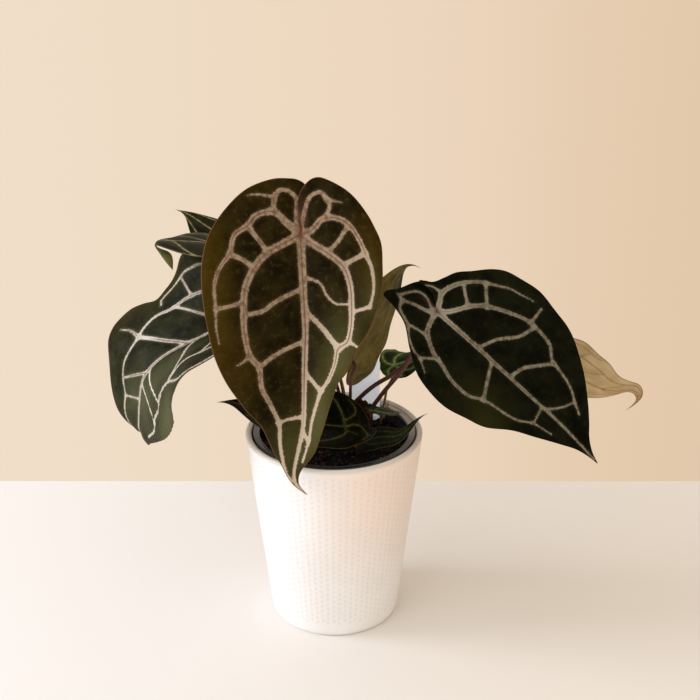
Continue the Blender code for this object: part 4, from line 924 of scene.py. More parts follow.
def makeStalkSkin():
    # Long streaks and small pale dots over a stalk, darker towards its root, with a tinted knuckle.
    inputs = [("Low", "colour"), ("High", "colour"), ("Streak", "colour"), ("Knuckle", "colour")]
    tree, given, result = newGroup("stalkSkin", inputs, skinOutputs)
    skin = attribute(tree, "skin", "Vector")
    streaks = noise(tree, stretch(tree, skin, (1.6, 1.6, 0.12)), 1.0, 3.0, 0.6)
    dots = scatter(tree, skin, 0.62)["Distance"]
    patches = noise(tree, skin, 0.07, 2.0, 0.5)
    base = blend(tree, attribute(tree, "rise"), given["Low"], given["High"])
    base = tint(tree, base, ramp(tree, streaks, 0.42, 0.72), 0.65, given["Streak"])
    base = tint(tree, base, ramp(tree, patches, 0.45, 0.7), 0.35, given["High"])
    base = tint(tree, base, ramp(tree, dots, 0.16, 0.05), 0.35, given["Streak"])
    base = tint(tree, base, attribute(tree, "knee"), 0.55, given["Knuckle"])
    tree.links.new(base, result["Colour"])
    tree.links.new(timesPlus(tree, streaks, 0.25, 0.3), result["Roughness"])
    tree.links.new(timesPlus(tree, ramp(tree, dots, 0.18, 0.04), 0.4, streaks), result["Height"])
    return tree


stalkSkin = makeStalkSkin()


def stalkMaterial(name, *paints):
    # The paints stand in the order of the group's inputs: low, high, streak and knuckle.
    material, tree, shader = newMaterial(name, Specular_IOR_Level=0.4)
    labels = ("Low", "High", "Streak", "Knuckle")
    drawn = useGroup(tree, stalkSkin, {label: colour(*paint) for label, paint in zip(labels, paints)})
    finishShader(tree, shader, drawn["Colour"], drawn["Roughness"], drawn["Height"], 0.00015, 0.5)
    return material


maroonStalk = stalkMaterial("maroonStalk", (66, 30, 24), (84, 40, 32), (122, 74, 58), (98, 52, 38))
greenStalk = stalkMaterial("greenStalk", (96, 84, 30), (122, 116, 48), (150, 142, 78), (120, 104, 52))


def bladeAtJoint(leaf):
    # Directions square to the blade and along it at its joint, after its own pitch there.
    _, ey, ez = bladeAxes(leaf["aim"])
    pitch = math.radians(float(stations(leaf["pitch"], np.array([0.0]))[0]))
    return math.cos(pitch) * ez - math.sin(pitch) * ey, math.cos(pitch) * ey + math.sin(pitch) * ez


def stalkPath(stalk, leaf, rings):
    # From the root through the given points to the joint, square to the blade there; the radius swells to
    # the knuckle by a squared sine of the nearness to the end.
    face, along = bladeAtJoint(leaf)
    lean = math.radians(stalk.get("lean", 0.0))
    end = np.array(leaf["joint"]) - face * (bladeThickness / 2 + fitGap + stalk["knuckle"] * math.sin(lean))
    face = math.cos(lean) * face + math.sin(lean) * along
    hook = stalk["hook"]
    path = smoothPath(list(stalk["points"]) + [end - face * hook, end - face * hook * 0.45, end], rings)
    nearness = np.clip(1.0 - np.linalg.norm(path - path[-1], axis=1) / (5.0 + hook * 0.4), 0.0, 1.0)
    low, high = stalk["radius"]
    radius = np.linspace(low, high, rings)
    knee = np.sin(np.minimum(nearness * 1.6, 1.0) * math.pi / 2) ** 2
    return path, radius + (stalk["knuckle"] - radius) * knee, face, knee


def tubeAlong(path, radius, sides, endDirection=None, ripple=None, topCap=0.12):
    # Rings square to the path, their sides counted from the path's own flattest direction; both ends are
    # closed by round caps, the top one flattened. ripple(along, angle) changes the radius by a share.
    ahead = np.gradient(path, axis=0)
    if endDirection is not None:
        ahead[-1] = endDirection
    ahead /= np.linalg.norm(ahead, axis=1, keepdims=True)
    bend = np.radians([80.0, 50.0, 20.0])
    place = np.vstack([[path[0]] * 4, path, [path[-1]] * 4])
    facing = np.vstack([[ahead[0]] * 4, ahead, [ahead[-1]] * 4])
    round_ = np.concatenate([[90.0], np.degrees(bend)])
    lift, shrink = np.sin(np.radians(round_)), np.cos(np.radians(round_))
    offset = np.concatenate([-lift * radius[0], np.zeros(len(path)), topCap * lift[::-1] * radius[-1]])
    size = np.concatenate([shrink * radius[0], radius, shrink[::-1] * radius[-1]])
    size[[0, -1]] = 0.0
    flattest = np.linalg.svd(path - path.mean(0))[2][2]
    across = flattest - facing * (facing @ flattest)[:, None]
    across /= np.linalg.norm(across, axis=1, keepdims=True)
    other = np.cross(facing, across)
    angle = np.linspace(0, 2 * math.pi, sides, endpoint=False)
    gone = walked(place)
    size = size[:, None] * (1.0 + (ripple(gone[:, None], angle[None, :]) if ripple else np.zeros((1, sides))))
    points = (place + facing * offset[:, None])[:, None] + size[..., None] * (
        np.cos(angle)[None, :, None] * across[:, None] + np.sin(angle)[None, :, None] * other[:, None])
    skin = np.stack([size * np.cos(angle), size * np.sin(angle), gone[:, None] + 0 * size], -1)
    return points.reshape(-1, 3), gridFaces(len(place), sides, wrap=True), skin.reshape(-1, 3)


# The tube ends intoBlade below the blade's middle, drawn there over its last meetOver; a leaning one is drawn
# by leanShare of that. Its paint changes with height from riseFrom on.
tube = dict(rings=120, sides=22, intoBlade=0.25, meetOver=8.0, leanShare=0.35, riseFrom=140.0, riseOver=90.0,
            green=("young", "back_left_low"))


def stalkRipple(along, angle):
    # Slight flutes and slow thick and thin places.
    return 0.035 * np.sin(3 * angle + 0.02 * along) + 0.03 * np.sin(0.21 * along + 1.3) * np.cos(angle)


def makeStalk(name, stalk, leaf):
    # The tube's end moves square to the blade up to it, by the square of the nearness to the end.
    path, radius, face, knee = stalkPath(stalk, leaf, tube["rings"])
    square = bladeAtJoint(leaf)[0]
    reach = (np.array(leaf["joint"]) - square * tube["intoBlade"] - path[-1]) @ square
    share = np.clip(1.0 - np.linalg.norm(path - path[-1], axis=1) / tube["meetOver"], 0.0, 1.0)[:, None]
    path = path + square * reach * share ** 2 * (tube["leanShare"] if "lean" in stalk else 1.0)
    points, faces, skin = tubeAlong(path, radius, tube["sides"], face, stalkRipple)
    rise = np.clip((points[:, 2] - tube["riseFrom"]) / tube["riseOver"], 0.0, 1.0)
    each = np.repeat(np.concatenate([np.full(4, knee[0]), knee, np.full(4, knee[-1])]), tube["sides"])
    points, faces, kept = weld(points, faces, {"skin": skin, "rise": rise, "knee": each})
    green = name in tube["green"]
    material, slotName = (greenStalk, "green_petiole") if green else (maroonStalk, "maroon_petiole")
    newPiece("stalk_" + name, points, faces, [material], ["petiole_" + name], kept)


for stalkName, stalkValues in stalks.items():
    makeStalk(stalkName, stalkValues, leaves[stalkName])
print("stalks made:", len(stalks))


# Planter: white glazed pot with rows of small oval dimples.

planter = dict(height=155.0, topRadius=67.5, baseRadius=49.0, wall=4.5, floor=6.0, baseRound=3.0,
               sides=456, rows=150, dimpleColumns=76, dimplePitch=4.7, dimpleDepth=0.34,
               dimpleWidth=0.62, dimpleTall=0.85, dimplesFrom=13.0, dimplesTo=148.0, footRing=30.0,
               innerFrom=151.5, innerOver=2.0)


def planterRadius(height):
    # Straight wall from the base's radius to the top's.
    p = planter
    return p["baseRadius"] + (p["topRadius"] - p["baseRadius"]) * height / p["height"]


def dimpleDepth(angle, height):
    # Bell-shaped dents on a staggered grid: distance to the nearest centre across and up.
    p = planter
    turn = (angle / (2 * math.pi) * p["dimpleColumns"]) + 0 * height
    column = np.round(turn)
    sideways = (turn - column) * 2 * math.pi * planterRadius(height) / p["dimpleColumns"]
    level = (height - p["dimplesFrom"]) / p["dimplePitch"] - 0.5 * (column % 2)
    upward = (level - np.round(level)) * p["dimplePitch"]
    inside = (level > -0.4) & (height < p["dimplesTo"])
    return np.exp(-0.5 * (sideways / p["dimpleWidth"]) ** 2 - 0.5 * (upward / p["dimpleTall"]) ** 2) * inside


def planterProfile():
    # Outside from the base up, round lip, inside down to the floor.
    p = planter
    lip = p["wall"] / 2
    top = p["height"] - lip
    turn = np.radians(np.linspace(0, 90, 7))
    base = np.stack([p["baseRadius"] - p["baseRound"] * (1 - np.sin(turn)),
                     p["baseRound"] * (1 - np.cos(turn))], -1)
    height = np.linspace(p["baseRound"] + 0.5, top, p["rows"])
    outside = np.stack([planterRadius(height), height], -1)
    turn = np.radians(np.linspace(15, 165, 13))
    rim = np.stack([planterRadius(top) - lip + lip * np.cos(turn), top + lip * np.sin(turn)], -1)
    height = np.linspace(top, p["floor"] + 2.0, 16)
    inside = np.stack([planterRadius(height) - p["wall"], height], -1)
    low = planterRadius(p["floor"]) - p["wall"]
    underside, floor = [(0.0, 0.0), (p["footRing"], 0.0)], [(low - 2.0, p["floor"]), (0.0, p["floor"])]
    loop = [underside, base, outside, rim, inside, floor]
    return np.vstack(loop), sum(len(part) for part in loop[:2]), p["rows"]


def makePlanter():
    # The profile turned round, its wall moved in by the dents and out by two slow waves; the dents and the
    # inside are stored for the glaze.
    profile, first, count = planterProfile()
    onWall = np.zeros((len(profile), 1))
    onWall[first:first + count] = 1.0

    def shift(angle, ring):
        slow = 0.12 * np.sin(2 * angle + 0.7) + 0.08 * np.sin(3 * angle + 0.03 * ring[:, 1:])
        return onWall * (slow - planter["dimpleDepth"] * dimpleDepth(angle, ring[:, 1:])) * (ring[:, :1] > 5)
    points, faces = turned(profile, planter["sides"], shift)
    angle, radius = np.arctan2(points[:, 1], points[:, 0]), np.hypot(points[:, 0], points[:, 1])
    outer = radius > planterRadius(points[:, 2]) - 1.0
    dent = dimpleDepth(angle % (2 * math.pi), points[:, 2]) * outer
    material, tree, shader = newMaterial("glaze", Coat_Weight=0.25, Coat_Roughness=0.2,
                                         Specular_IOR_Level=0.4)
    place = objectPlace(tree)
    cloud = noise(tree, place, 18.0, 3.0, 0.5)
    speck = scatter(tree, place, 160.0)
    pin = noise(tree, place, 900.0, 2.0, 0.6)
    body = twoTone(tree, cloud, 0.3, 0.7, (238, 236, 234), (244, 243, 242))
    spot = axisParts(tree, place)
    # Painted light: a warm tint over the upper wall on the right, standing in for warm light thrown back from
    # the wall.
    paintedWarmBounce = times(tree, ramp(tree, spot["Z"], 0.03, 0.13, 0.0, 0.8), ramp(tree, spot["X"], -0.03, 0.03))
    body = blend(tree, paintedWarmBounce, body, colour(251, 231, 218))
    body = tint(tree, body, attribute(tree, "dent"), 0.32, colour(206, 190, 178))
    body = tint(tree, body, attribute(tree, "inner"), 0.85, colour(214, 208, 198))
    dot = times(tree, ramp(tree, speck["Distance"], 0.16, 0.05, 0.0, 0.3), fewOf(tree, speck, 0.93))
    body = blend(tree, dot, body, colour(150, 136, 120))
    finishShader(tree, shader, body, timesPlus(tree, cloud, 0.2, 0.3),
                 timesPlus(tree, cloud, 2.0, pin), 0.0001, 0.35)
    inner = np.clip((points[:, 2] - planter["innerFrom"]) / planter["innerOver"], 0.0, 1.0)
    inner = np.maximum(inner, (radius < planterRadius(points[:, 2]) - 2.4) & (points[:, 2] > 5.0))
    newPiece("cover_pot", points, faces, [material], ["planter"],
             {"dent": dent, "inner": inner})
    print("planter made:", len(faces), "triangles")


makePlanter()


# Nursery pot: thin black pot with a turned-out lip.

nursery = dict(top=154.3, topRadius=61.2, rimRadius=61.9, rimInner=56.7, baseRadius=42.5, wall=1.2,
               belowLip=0.9, straightFrom=30.0, sides=160)


def nurseryRadius(height):
    # Straight wall from the base's radius to the top's.
    low = planter["floor"] + 2.0
    share = (height - low) / (nursery["top"] - low)
    return nursery["baseRadius"] + (nursery["topRadius"] - nursery["baseRadius"]) * share


def nurseryInside(height):
    # Inner radius of the wall, which stands in a little below the lip.
    return nurseryRadius(height) - nursery["belowLip"] - nursery["wall"]


def makeNurseryPot():
    # Up the outside, round the lip and down the inside, with three slow waves in the upper wall.
    n = nursery
    low, top, edge = planter["floor"] + fitGap, n["top"], n["rimRadius"]
    rise = np.linspace(n["straightFrom"], top - 8.0, 16)
    loop = [(0.0, low), (n["baseRadius"] - 2.5, low), (n["baseRadius"], low + 2.5)]
    loop += [(nurseryRadius(h) - n["belowLip"], h) for h in rise]
    loop += [(nurseryRadius(top - 8.0), top - 7.0)]
    loop += [(edge - inward, top - down) for inward, down in
             ((0.4, 5.6), (0.05, 5.0), (0.0, 1.2), (0.2, 0.6), (0.7, 0.25), (1.4, 0.2),
              (2.6, 0.25), (3.4, 0.3), (3.8, 0.15), (4.2, 0.0), (4.7, 0.05))]
    loop += [(n["rimInner"] + out, top - down) for out, down in ((0.15, 0.4), (0.0, 0.9), (0.1, 1.6))]
    loop += [(nurseryRadius(top - 5.0) - 2.5, top - 4.6)]
    loop += [(nurseryInside(h), h) for h in np.linspace(top - 5.4, n["straightFrom"], 24)]
    loop += [(n["baseRadius"] - n["wall"], low + 3.5), (n["baseRadius"] - 3.0, low + n["wall"]),
             (0.0, low + n["wall"])]

    def shift(angle, ring):
        return 0.12 * np.sin(3 * angle + 0.5) * (ring[:, 1:] > 120.0) * (ring[:, :1] > 5)
    points, faces = turned(loop, n["sides"], shift)
    material, tree, shader = newMaterial("nurseryPlastic", Specular_IOR_Level=0.85)
    place = objectPlace(tree)
    dust = noise(tree, place, 90.0, 5.0, 0.7)
    cloud = noise(tree, place, 25.0, 3.0, 0.5)
    scratch = noise(tree, stretch(tree, place, (40.0, 40.0, 900.0)), 1.0, 2.0, 0.6)
    body = twoTone(tree, cloud, 0.35, 0.7, (10, 11, 13), (20, 22, 26))
    body = blend(tree, ramp(tree, dust, 0.6, 0.85, 0.0, 0.45), body, colour(92, 80, 68))
    # Painted reflection: the inside wall at its back right is painted a lighter grey, and a pale band inside
    # the rim there, broken up by the dust noise, is a painted highlight from the window light.
    spot = axisParts(tree, place)
    paintedWallGloss = times(tree, ramp(tree, spot["X"], 0.02, 0.045), ramp(tree, spot["Y"], -0.022, 0.016))
    body = tint(tree, body, paintedWallGloss, ramp(tree, spot["Z"], 0.13, 0.149, 0.0, 0.9), colour(66, 70, 74))
    paintedRimHighlight = times(tree, paintedWallGloss, ramp(tree, spot["Z"], 0.1495, 0.153, 0.0, 0.75))
    body = tint(tree, body, paintedRimHighlight, ramp(tree, dust, 0.25, 0.6, 0.5, 1.0), colour(186, 176, 164))
    finishShader(tree, shader, body, ramp(tree, scratch, 0.3, 0.7, 0.24, 0.42),
                 timesPlus(tree, scratch, 0.5, cloud), 0.0003, 0.4)
    newPiece("inner_pot", points, faces, [material], ["nursery_pot"])
    print("nursery pot made")


makeNurseryPot()


# Soil: a closed body with a lumpy top.

soil = dict(top=142.5, rings=110, sides=230)


def valueNoise(x, y, cell, seed):
    # Seeded random heights at the corners of square cells, mixed smoothly between them.
    table = np.random.default_rng(seed).uniform(-1.0, 1.0, (64, 64))
    u, v = x / cell + 32.0, y / cell + 32.0
    i, j = np.floor(u).astype(int), np.floor(v).astype(int)
    a, b = u - i, v - j
    a, b = a * a * (3 - 2 * a), b * b * (3 - 2 * b)
    near = table[i % 64, j % 64] * (1 - a) + table[(i + 1) % 64, j % 64] * a
    far = table[i % 64, (j + 1) % 64] * (1 - a) + table[(i + 1) % 64, (j + 1) % 64] * a
    return near * (1 - b) + far * b


def soilHeight(x, y):
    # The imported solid's slow waves, with crumbs of two sizes on them.
    waves = np.sin(0.83 * x + 1.1) * np.sin(0.71 * y + 0.4) + 0.6 * np.sin(1.31 * x - 0.9 * y)
    crumbs = 0.9 * valueNoise(x, y, 3.4, 5) + 0.5 * valueNoise(x, y, 1.5, 6)
    return soil["top"] - 0.4 + 0.7 * waves + crumbs


def makeSoil():
    # A turned body that stands off the pot's inside; its flat top takes the heights of soilHeight.
    low = planter["floor"] + 2 * fitGap + nursery["wall"]
    edge = nurseryInside(soil["top"] - 1.0) - 2 * fitGap
    wall = [(0.0, low), (nursery["baseRadius"] - 5.0, low), (nursery["baseRadius"] - 1.0, 14.0)]
    heights = (nursery["straightFrom"], 80.0, soil["top"] - 1.0)
    wall += [(nurseryInside(h) - 2 * fitGap, h) for h in heights]
    top = [(edge * share, soil["top"]) for share in np.linspace(0.995, 0.0, soil["rings"])]
    points, faces = turned(wall + top, soil["sides"])
    upper = points[:, 2] > soil["top"] - 0.5
    points[upper, 2] = soilHeight(points[upper, 0], points[upper, 1])
    material, tree, shader = newMaterial("soilMix", Specular_IOR_Level=0.25)
    place = objectPlace(tree)
    grain = noise(tree, place, 700.0, 4.0, 0.7)
    lump = noise(tree, place, 150.0, 3.0, 0.6)
    body = twoTone(tree, lump, 0.35, 0.8, (5, 3, 2), (26, 16, 10))
    body = blend(tree, ramp(tree, grain, 0.64, 0.82, 0.0, 0.5), body, colour(84, 52, 28))
    finishShader(tree, shader, body, ramp(tree, grain, 0.2, 0.8, 0.75, 0.98), grain, 0.0006, 0.8)
    newPiece("potting_mix", points, faces, [material], ["soil"])


makeSoil()


# Blank push-in tag: a flat plate with round corners and softened edges.

tag = dict(centre=(24.2, 42.2), width=22.4, thickness=0.8, bottom=131.0, top=192.5, corner=1.6)


def makeTag():
    # Rings shrink from the outline to the middle of the plate; the outermost ring is also the edge.
    t = tag
    half, tall = t["width"] / 2, (t["top"] - t["bottom"]) / 2
    corner = np.radians(np.arange(0, 360, 15) + 7.5)
    sideways = np.sign(np.cos(corner)) * (half - t["corner"]) + t["corner"] * np.cos(corner)
    upward = np.sign(np.sin(corner)) * (tall - t["corner"]) + t["corner"] * np.sin(corner)
    loop = evenPath(np.stack([np.append(sideways, sideways[0]), np.append(upward, upward[0])], -1), 161)[:-1]
    deep = t["thickness"] / 2
    rings = [(0.0, -deep), (0.5, -deep), (0.97, -deep), (0.99, -deep * 0.8), (1.0, -deep * 0.3),
             (1.0, deep * 0.3), (0.99, deep * 0.8), (0.97, deep), (0.5, deep), (0.0, deep)]
    inset = np.array([share for share, _ in rings])[:, None, None]
    shrunk = loop[None] * np.where(inset > 0.9, 1 - (1 - inset) * half / np.array([half, tall]), inset)
    depth = np.array([d for _, d in rings])[:, None] + 0 * shrunk[..., 0]
    points = np.stack([shrunk[..., 0] + t["centre"][0], t["centre"][1] - depth,
                       shrunk[..., 1] + (t["top"] + t["bottom"]) / 2], -1).reshape(-1, 3)
    points, faces, _ = weld(points, gridFaces(len(rings), len(loop), wrap=True))
    material, tree, shader = newMaterial("tagPlastic", Specular_IOR_Level=0.4, Emission_Strength=0.4)
    place = objectPlace(tree)
    cloud = noise(tree, place, 60.0, 3.0, 0.5)
    smear = noise(tree, place, 240.0, 4.0, 0.7)
    height = axisParts(tree, place)["Z"]
    low = times(tree, ramp(tree, height, 0.150, 0.141), ramp(tree, smear, 0.35, 0.6))
    body = twoTone(tree, cloud, 0.3, 0.7, (228, 234, 242), (236, 240, 245))
    body = tint(tree, body, low, 0.7, colour(96, 72, 52))
    # Painted light: the tag's colour also feeds its emission at strength 0.4, so the plate glows white though
    # it is no lamp.
    tree.links.new(body, shader.inputs["Emission Color"])
    finishShader(tree, shader, body, ramp(tree, smear, 0.3, 0.7, 0.38, 0.52), smear, 0.0001, 0.4)
    newPiece("blank_tag", points, faces, [material], ["plant_tag"])


# Crown: the short stem.

crown = dict(centre=(21.5, 26.5), radius=4.4, base=122.0, top=162.0, dome=4.0, sides=64)


def makeCrown():
    # A stem with a domed top, with thin ring marks all the way up and five shallow flutes.
    c = crown
    shoulder = c["top"] - c["dome"]
    height = np.linspace(c["base"], shoulder, 50)
    dome = np.radians(np.linspace(0, 90, 9))
    profile = [(0.0, c["base"])] + [(c["radius"], h) for h in height]
    profile += [(c["radius"] * math.cos(a) * 0.999, shoulder + c["dome"] * math.sin(a)) for a in dome[1:]]
    profile[-1] = (0.0, c["top"])

    def shift(angle, ring):
        up = ring[:, 1:]
        rings = -0.35 * np.abs(np.sin(up * 0.55 + 0.4 * np.sin(angle))) ** 6
        return (rings + 0.25 * np.sin(5 * angle + 0.2 * up)) * (ring[:, :1] > 1.0)
    points, faces = turned(profile, c["sides"], shift)
    points[:, :2] += c["centre"]
    material, tree, shader = newMaterial("crownBark", Specular_IOR_Level=0.3)
    place = objectPlace(tree)
    grain = noise(tree, stretch(tree, place, (900.0, 900.0, 120.0)), 1.0, 3.0, 0.65)
    lump = noise(tree, place, 160.0, 2.0, 0.5)
    body = twoTone(tree, lump, 0.35, 0.7, (58, 30, 22), (86, 48, 34))
    body = blend(tree, ramp(tree, grain, 0.55, 0.8, 0.0, 0.6), body, colour(124, 84, 54))
    finishShader(tree, shader, body, ramp(tree, grain, 0.2, 0.8, 0.5, 0.8), grain, 0.0005, 0.8)
    newPiece("crown_stem", points, faces, [material], ["crown"])


# Bark bits: loose on the mix. clear is how far they stay from stalks, crown and tag (across, through).

chips = dict(count=270, seed=41, spread=55.0, grown=(2.6, 1.7, 0.9), least=(0.5, 0.4, 0.3), above=0.3,
             heap=0.7, tilt=0.45, dents=(-0.28, 0.22), clear=(4.5, 7.5, 14.0, 4.0))


def turnMatrices(angles):
    # One rotation matrix a row, from turns about X, Y and Z.
    (cx, cy, cz), (sx, sy, sz) = np.cos(angles).T, np.sin(angles).T
    return np.stack([np.stack([cy * cz, sx * sy * cz - cx * sz, cx * sy * cz + sx * sz], -1),
                     np.stack([cy * sz, sx * sy * sz + cx * cz, cx * sy * sz - sx * cz], -1),
                     np.stack([-sy, sx * cy, cx * cy], -1)], -2)


def makeChips():
    # Each bit is a flattened ball of 48 triangles with its own size, turn and dents; all are one mesh.
    random = np.random.default_rng(chips["seed"])
    count = chips["count"]
    reach = chips["spread"] * np.sqrt(random.uniform(0.02, 0.98, count))
    turn = random.uniform(0, 2 * math.pi, count)
    x, y = reach * np.cos(turn), reach * np.sin(turn)
    size = random.uniform(0.7, 1.0, count) ** 3
    scale = size[:, None] * chips["grown"] + chips["least"]
    roots = np.array([np.array(stalk["points"])[1, :2] for stalk in stalks.values()])
    spots = np.stack([x, y], -1)
    fromStalk, fromCrown, beside, through = chips["clear"]
    off = np.linalg.norm(spots[:, None] - roots, axis=-1).min(1) > fromStalk
    off &= np.linalg.norm(spots - crown["centre"], axis=-1) > fromCrown
    off &= (np.abs(spots - tag["centre"]) >= (beside, through)).any(-1)
    lift = random.uniform(0.0, chips["heap"], count)
    tilts = [random.normal(0, chips["tilt"], count) for _ in range(2)]
    angles = np.stack([*tilts, turn * 3.0], -1)
    up, around = np.meshgrid(np.linspace(-90, 90, 6), np.linspace(0, 360, 6, endpoint=False), indexing="ij")
    up, around = np.radians(up).ravel(), np.radians(around).ravel()
    ball = np.stack([np.cos(up) * np.cos(around), np.cos(up) * np.sin(around), np.sin(up)], -1)
    ball, cells, _ = weld(ball, gridFaces(6, 6, wrap=True))
    dents = 1.0 + random.uniform(*chips["dents"], (count, len(ball), 1))
    tone = random.uniform(0, 1, count) ** 1.4
    keep = np.flatnonzero(off)
    bits = np.einsum("nij,nmj->nmi", turnMatrices(angles)[keep], ball * dents[keep] * scale[keep][:, None])
    place = np.stack([x, y, soilHeight(x, y) + lift + chips["above"]], -1)[keep]
    points = (bits + place[:, None]).reshape(-1, 3)
    faces = (cells + np.arange(len(keep))[:, None, None] * len(ball)).reshape(-1, 3)
    material, tree, shader = newMaterial("barkBits", Specular_IOR_Level=0.3)
    spot = objectPlace(tree)
    own = attribute(tree, "chipTone")
    grain = noise(tree, spot, 900.0, 3.0, 0.7)
    body = twoTone(tree, own, 0.4, 0.85, (16, 10, 7), (70, 40, 22))
    body = blend(tree, ramp(tree, own, 0.9, 1.0), body, colour(150, 80, 36))
    body = blend(tree, ramp(tree, grain, 0.45, 0.75, 0.0, 0.5), body, colour(60, 38, 26))
    finishShader(tree, shader, body, ramp(tree, grain, 0.2, 0.8, 0.6, 0.9), grain, 0.0005, 0.7)
    tones = np.repeat(tone[keep], len(ball))
    newPiece("bark_bits", points, faces, [material], (), {"chipTone": tones})
    print("bark bits made:", len(keep))


makeChips()
makeTag()
makeCrown()


# Sheaths: old ones round the crown, and papery ones at the young leaf's base. foot (x, y, z), heading of the
# lean in degrees, length, half width, lean at foot and tip in degrees, and whether they are dry.

sheaths = {
    "a": dict(foot=(19.4, 20.6, 148.0), heading=-80, length=25.0, half=6.8, lean=(2, 16), dry=False),
    "b": dict(foot=(17.2, 25.4, 148.0), heading=-165, length=18.0, half=3.9, lean=(6, 30), dry=False),
    "c": dict(foot=(26.0, 19.4, 148.0), heading=-60, length=21.0, half=7.0, lean=(-4, 26), dry=False),
    "f": dict(foot=(22.6, 18.6, 146.0), heading=-70, length=26.0, half=8.2, lean=(-4, 20), dry=False),
    "d": dict(foot=(23.4, 31.2, 148.0), heading=70, length=14.0, half=3.8, lean=(4, 30), dry=False),
    "e": dict(foot=(18.6, 30.6, 147.0), heading=130, length=17.0, half=3.4, lean=(8, 42), dry=False),
    "dryYoung": dict(foot=(38.0, 36.4, 146.0), heading=2, length=16.0, half=2.8, lean=(4, 40), dry=True),
    "dryEdge": dict(foot=(38.6, 38.0, 146.0), heading=35, length=12.0, half=2.2, lean=(6, 60), dry=True),
}


# bow: how far each edge curls round, in radians; depth: the trough's share of a round one.
strip = dict(rows=40, columns=13, bow=1.15, depth=0.8, halfThick=0.28)


def sheathMaterial(name, dark, light, edge):
    # Fibrous grain between two colours, with a third one at the tip.
    material, tree, shader = newMaterial(name, Specular_IOR_Level=0.35)
    skin = attribute(tree, "skin", "Vector")
    grain = noise(tree, stretch(tree, skin, (1.5, 1.5, 0.12)), 1.0, 3.0, 0.65)
    body = blend(tree, ramp(tree, grain, 0.35, 0.7), dark, light)
    body = blend(tree, attribute(tree, "tip"), body, edge)
    finishShader(tree, shader, body, ramp(tree, grain, 0.2, 0.8, 0.42, 0.7), grain, 0.0003, 0.6)
    return material


freshSheath = sheathMaterial("freshSheath", colour(34, 13, 10), colour(60, 25, 19), colour(76, 36, 26))
drySheath = sheathMaterial("drySheath", colour(168, 152, 128), colour(216, 208, 194), colour(104, 72, 50))


def makeSheath(name, s):
    # A lance-shaped strip curled round its own length: the lean grows from foot to tip, the width follows a
    # sine that ends in a point, and the strip is bowed across into a shallow trough.
    rows, columns = strip["rows"], strip["columns"]
    v = np.linspace(0.0, 1.0, rows)
    lean = np.radians(s["lean"][0] + (s["lean"][1] - s["lean"][0]) * v ** 1.6)
    heading = math.radians(s["heading"])
    away = np.array([math.cos(heading), math.sin(heading), 0.0])
    beside = np.array([-math.sin(heading), math.cos(heading), 0.0])
    ahead = np.sin(lean)[:, None] * away + np.cos(lean)[:, None] * np.array([0.0, 0.0, 1.0])
    step = s["length"] / (rows - 1)
    centre = np.array(s["foot"]) + np.concatenate([np.zeros((1, 3)), np.cumsum(ahead[1:] * step, axis=0)])
    outward = np.cos(lean)[:, None] * away - np.sin(lean)[:, None] * np.array([0.0, 0.0, 1.0])
    width = s["half"] * np.sin(math.pi * (0.28 + 0.72 * v)) ** 0.8 * (1 - 0.1 * v)
    u = np.linspace(-1.0, 1.0, columns)
    bow = strip["bow"] * u
    reach = width[:, None] * np.sin(bow)
    sink = width[:, None] * (1 - np.cos(bow)) * strip["depth"]
    points = centre[:, None] + reach[..., None] * beside - sink[..., None] * outward[:, None]
    points = points.reshape(-1, 3)
    faces = gridFaces(rows, columns)[:, ::-1]
    normal = pointNormals(points, faces)
    deep = strip["halfThick"] * (0.4 + 0.6 * np.repeat(np.clip((1 - v) * 6, 0, 1), columns))[:, None]
    skin = np.stack([reach.ravel(), sink.ravel(), np.repeat(v * s["length"], columns)], -1)
    tip = np.repeat(np.clip((v - 0.8) / 0.2, 0.0, 1.0), columns)
    solid, cells, _ = closeSheet(points + normal * deep, points - normal * deep, faces)
    newPiece("sheath_" + name, solid, cells, [drySheath if s["dry"] else freshSheath], (),
             {"skin": np.vstack([skin, skin]), "tip": np.concatenate([tip, tip])})


for sheathName, sheathValues in sheaths.items():
    makeSheath(sheathName, sheathValues)
print("crown made")


# Table, background and lights.

table = dict(backEdge=0.197, reach=3.0)


def makeTable():
    # A flat sheet that ends behind the pot, as the wall begins there.
    x, front, back = table["reach"], -table["reach"], table["backEdge"]
    mesh = bpy.data.meshes.new("table")
    mesh.from_pydata([(-x, front, 0), (x, front, 0), (x, back, 0), (-x, back, 0)], [], [(0, 1, 2, 3)])
    material, tree, shader = newMaterial("tablePaint", Specular_IOR_Level=0.2)
    place = objectPlace(tree)
    cloud = noise(tree, place, 3.0, 2.0, 0.5)
    side = axisParts(tree, place)["X"]
    # Painted light: the sheet is whiter on the left and warmer and a little darker on the right, as the
    # window light falls from the left.
    body = twoTone(tree, side, -0.25, 0.3, (240, 238, 236), (238, 232, 224))
    tree.links.new(tint(tree, body, cloud, 0.06, colour(226, 216, 204)), shader.inputs["Base Color"])
    tree.links.new(ramp(tree, cloud, 0.0, 1.0, 0.6, 0.75), shader.inputs["Roughness"])
    mesh.materials.append(material)
    piece = bpy.data.objects.new("table", mesh)
    bpy.context.scene.collection.objects.link(piece)


makeTable()


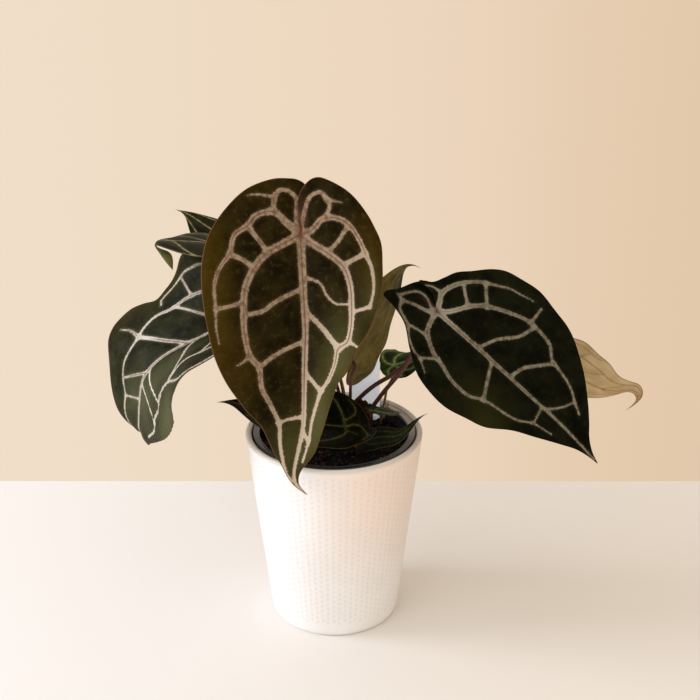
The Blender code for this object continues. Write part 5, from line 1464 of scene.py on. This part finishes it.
def makeWorld():
    # Even warm fill for the lighting; the camera sees a peach wall, paler on the left.
    world = bpy.data.worlds.new("room")
    bpy.context.scene.world = world
    world.use_nodes = True
    tree = world.node_tree
    tree.nodes.clear()
    way = put(tree, "ShaderNodeTexCoord").outputs["Generated"]
    side = axisParts(tree, way)
    across = calc(tree, "ARCTAN2", side["X"], calc(tree, "ABSOLUTE", side["Y"]))
    wall = twoTone(tree, across, -0.22, 0.02, (240, 222, 200), (237, 215, 191))
    wall = blend(tree, ramp(tree, across, 0.0, 0.24), wall, colour(227, 201, 171))
    wallLight = put(tree, "ShaderNodeBackground", {"Color": wall, "Strength": 1.0})
    fill = twoTone(tree, side["Z"], -0.3, 0.9, (228, 210, 190), (242, 230, 214))
    fillLight = put(tree, "ShaderNodeBackground", {"Color": fill, "Strength": 0.92})
    seen = put(tree, "ShaderNodeLightPath").outputs["Is Camera Ray"]
    both = put(tree, "ShaderNodeMixShader", {0: seen, 1: fillLight.outputs[0], 2: wallLight.outputs[0]})
    put(tree, "ShaderNodeOutputWorld", {"Surface": both.outputs[0]})


makeWorld()

lights = {
    "window": dict(place=(-1.9, -0.05, 0.98), aim=(0.0, 0.0, 0.12), size=0.8, power=25.0,
                   tint=(224, 232, 250)),
    "sky": dict(place=(-1.5, -1.7, 1.3), aim=(0.0, 0.0, 0.15), size=2.2, power=24.0, tint=(226, 234, 246)),
}


def makeLights():
    # Square soft lamps, each turned so that its face looks at its aim.
    for name, values in lights.items():
        data = bpy.data.lights.new(name, "AREA")
        data.shape = "SQUARE"
        data.size = values["size"]
        data.energy = values["power"]
        data.color = colour(*values["tint"])[:3]
        lamp = bpy.data.objects.new(name, data)
        bpy.context.scene.collection.objects.link(lamp)
        place, aim = np.array(values["place"]), np.array(values["aim"])
        away = place - aim
        lamp.location = place.tolist()
        lamp.rotation_euler = (math.atan2(math.hypot(away[0], away[1]), away[2]), 0.0,
                               math.atan2(away[1], away[0]) + math.pi / 2)


makeLights()
bpy.context.scene.view_settings.view_transform = "Standard"
bpy.context.scene.view_settings.look = "None"

print("scene made")
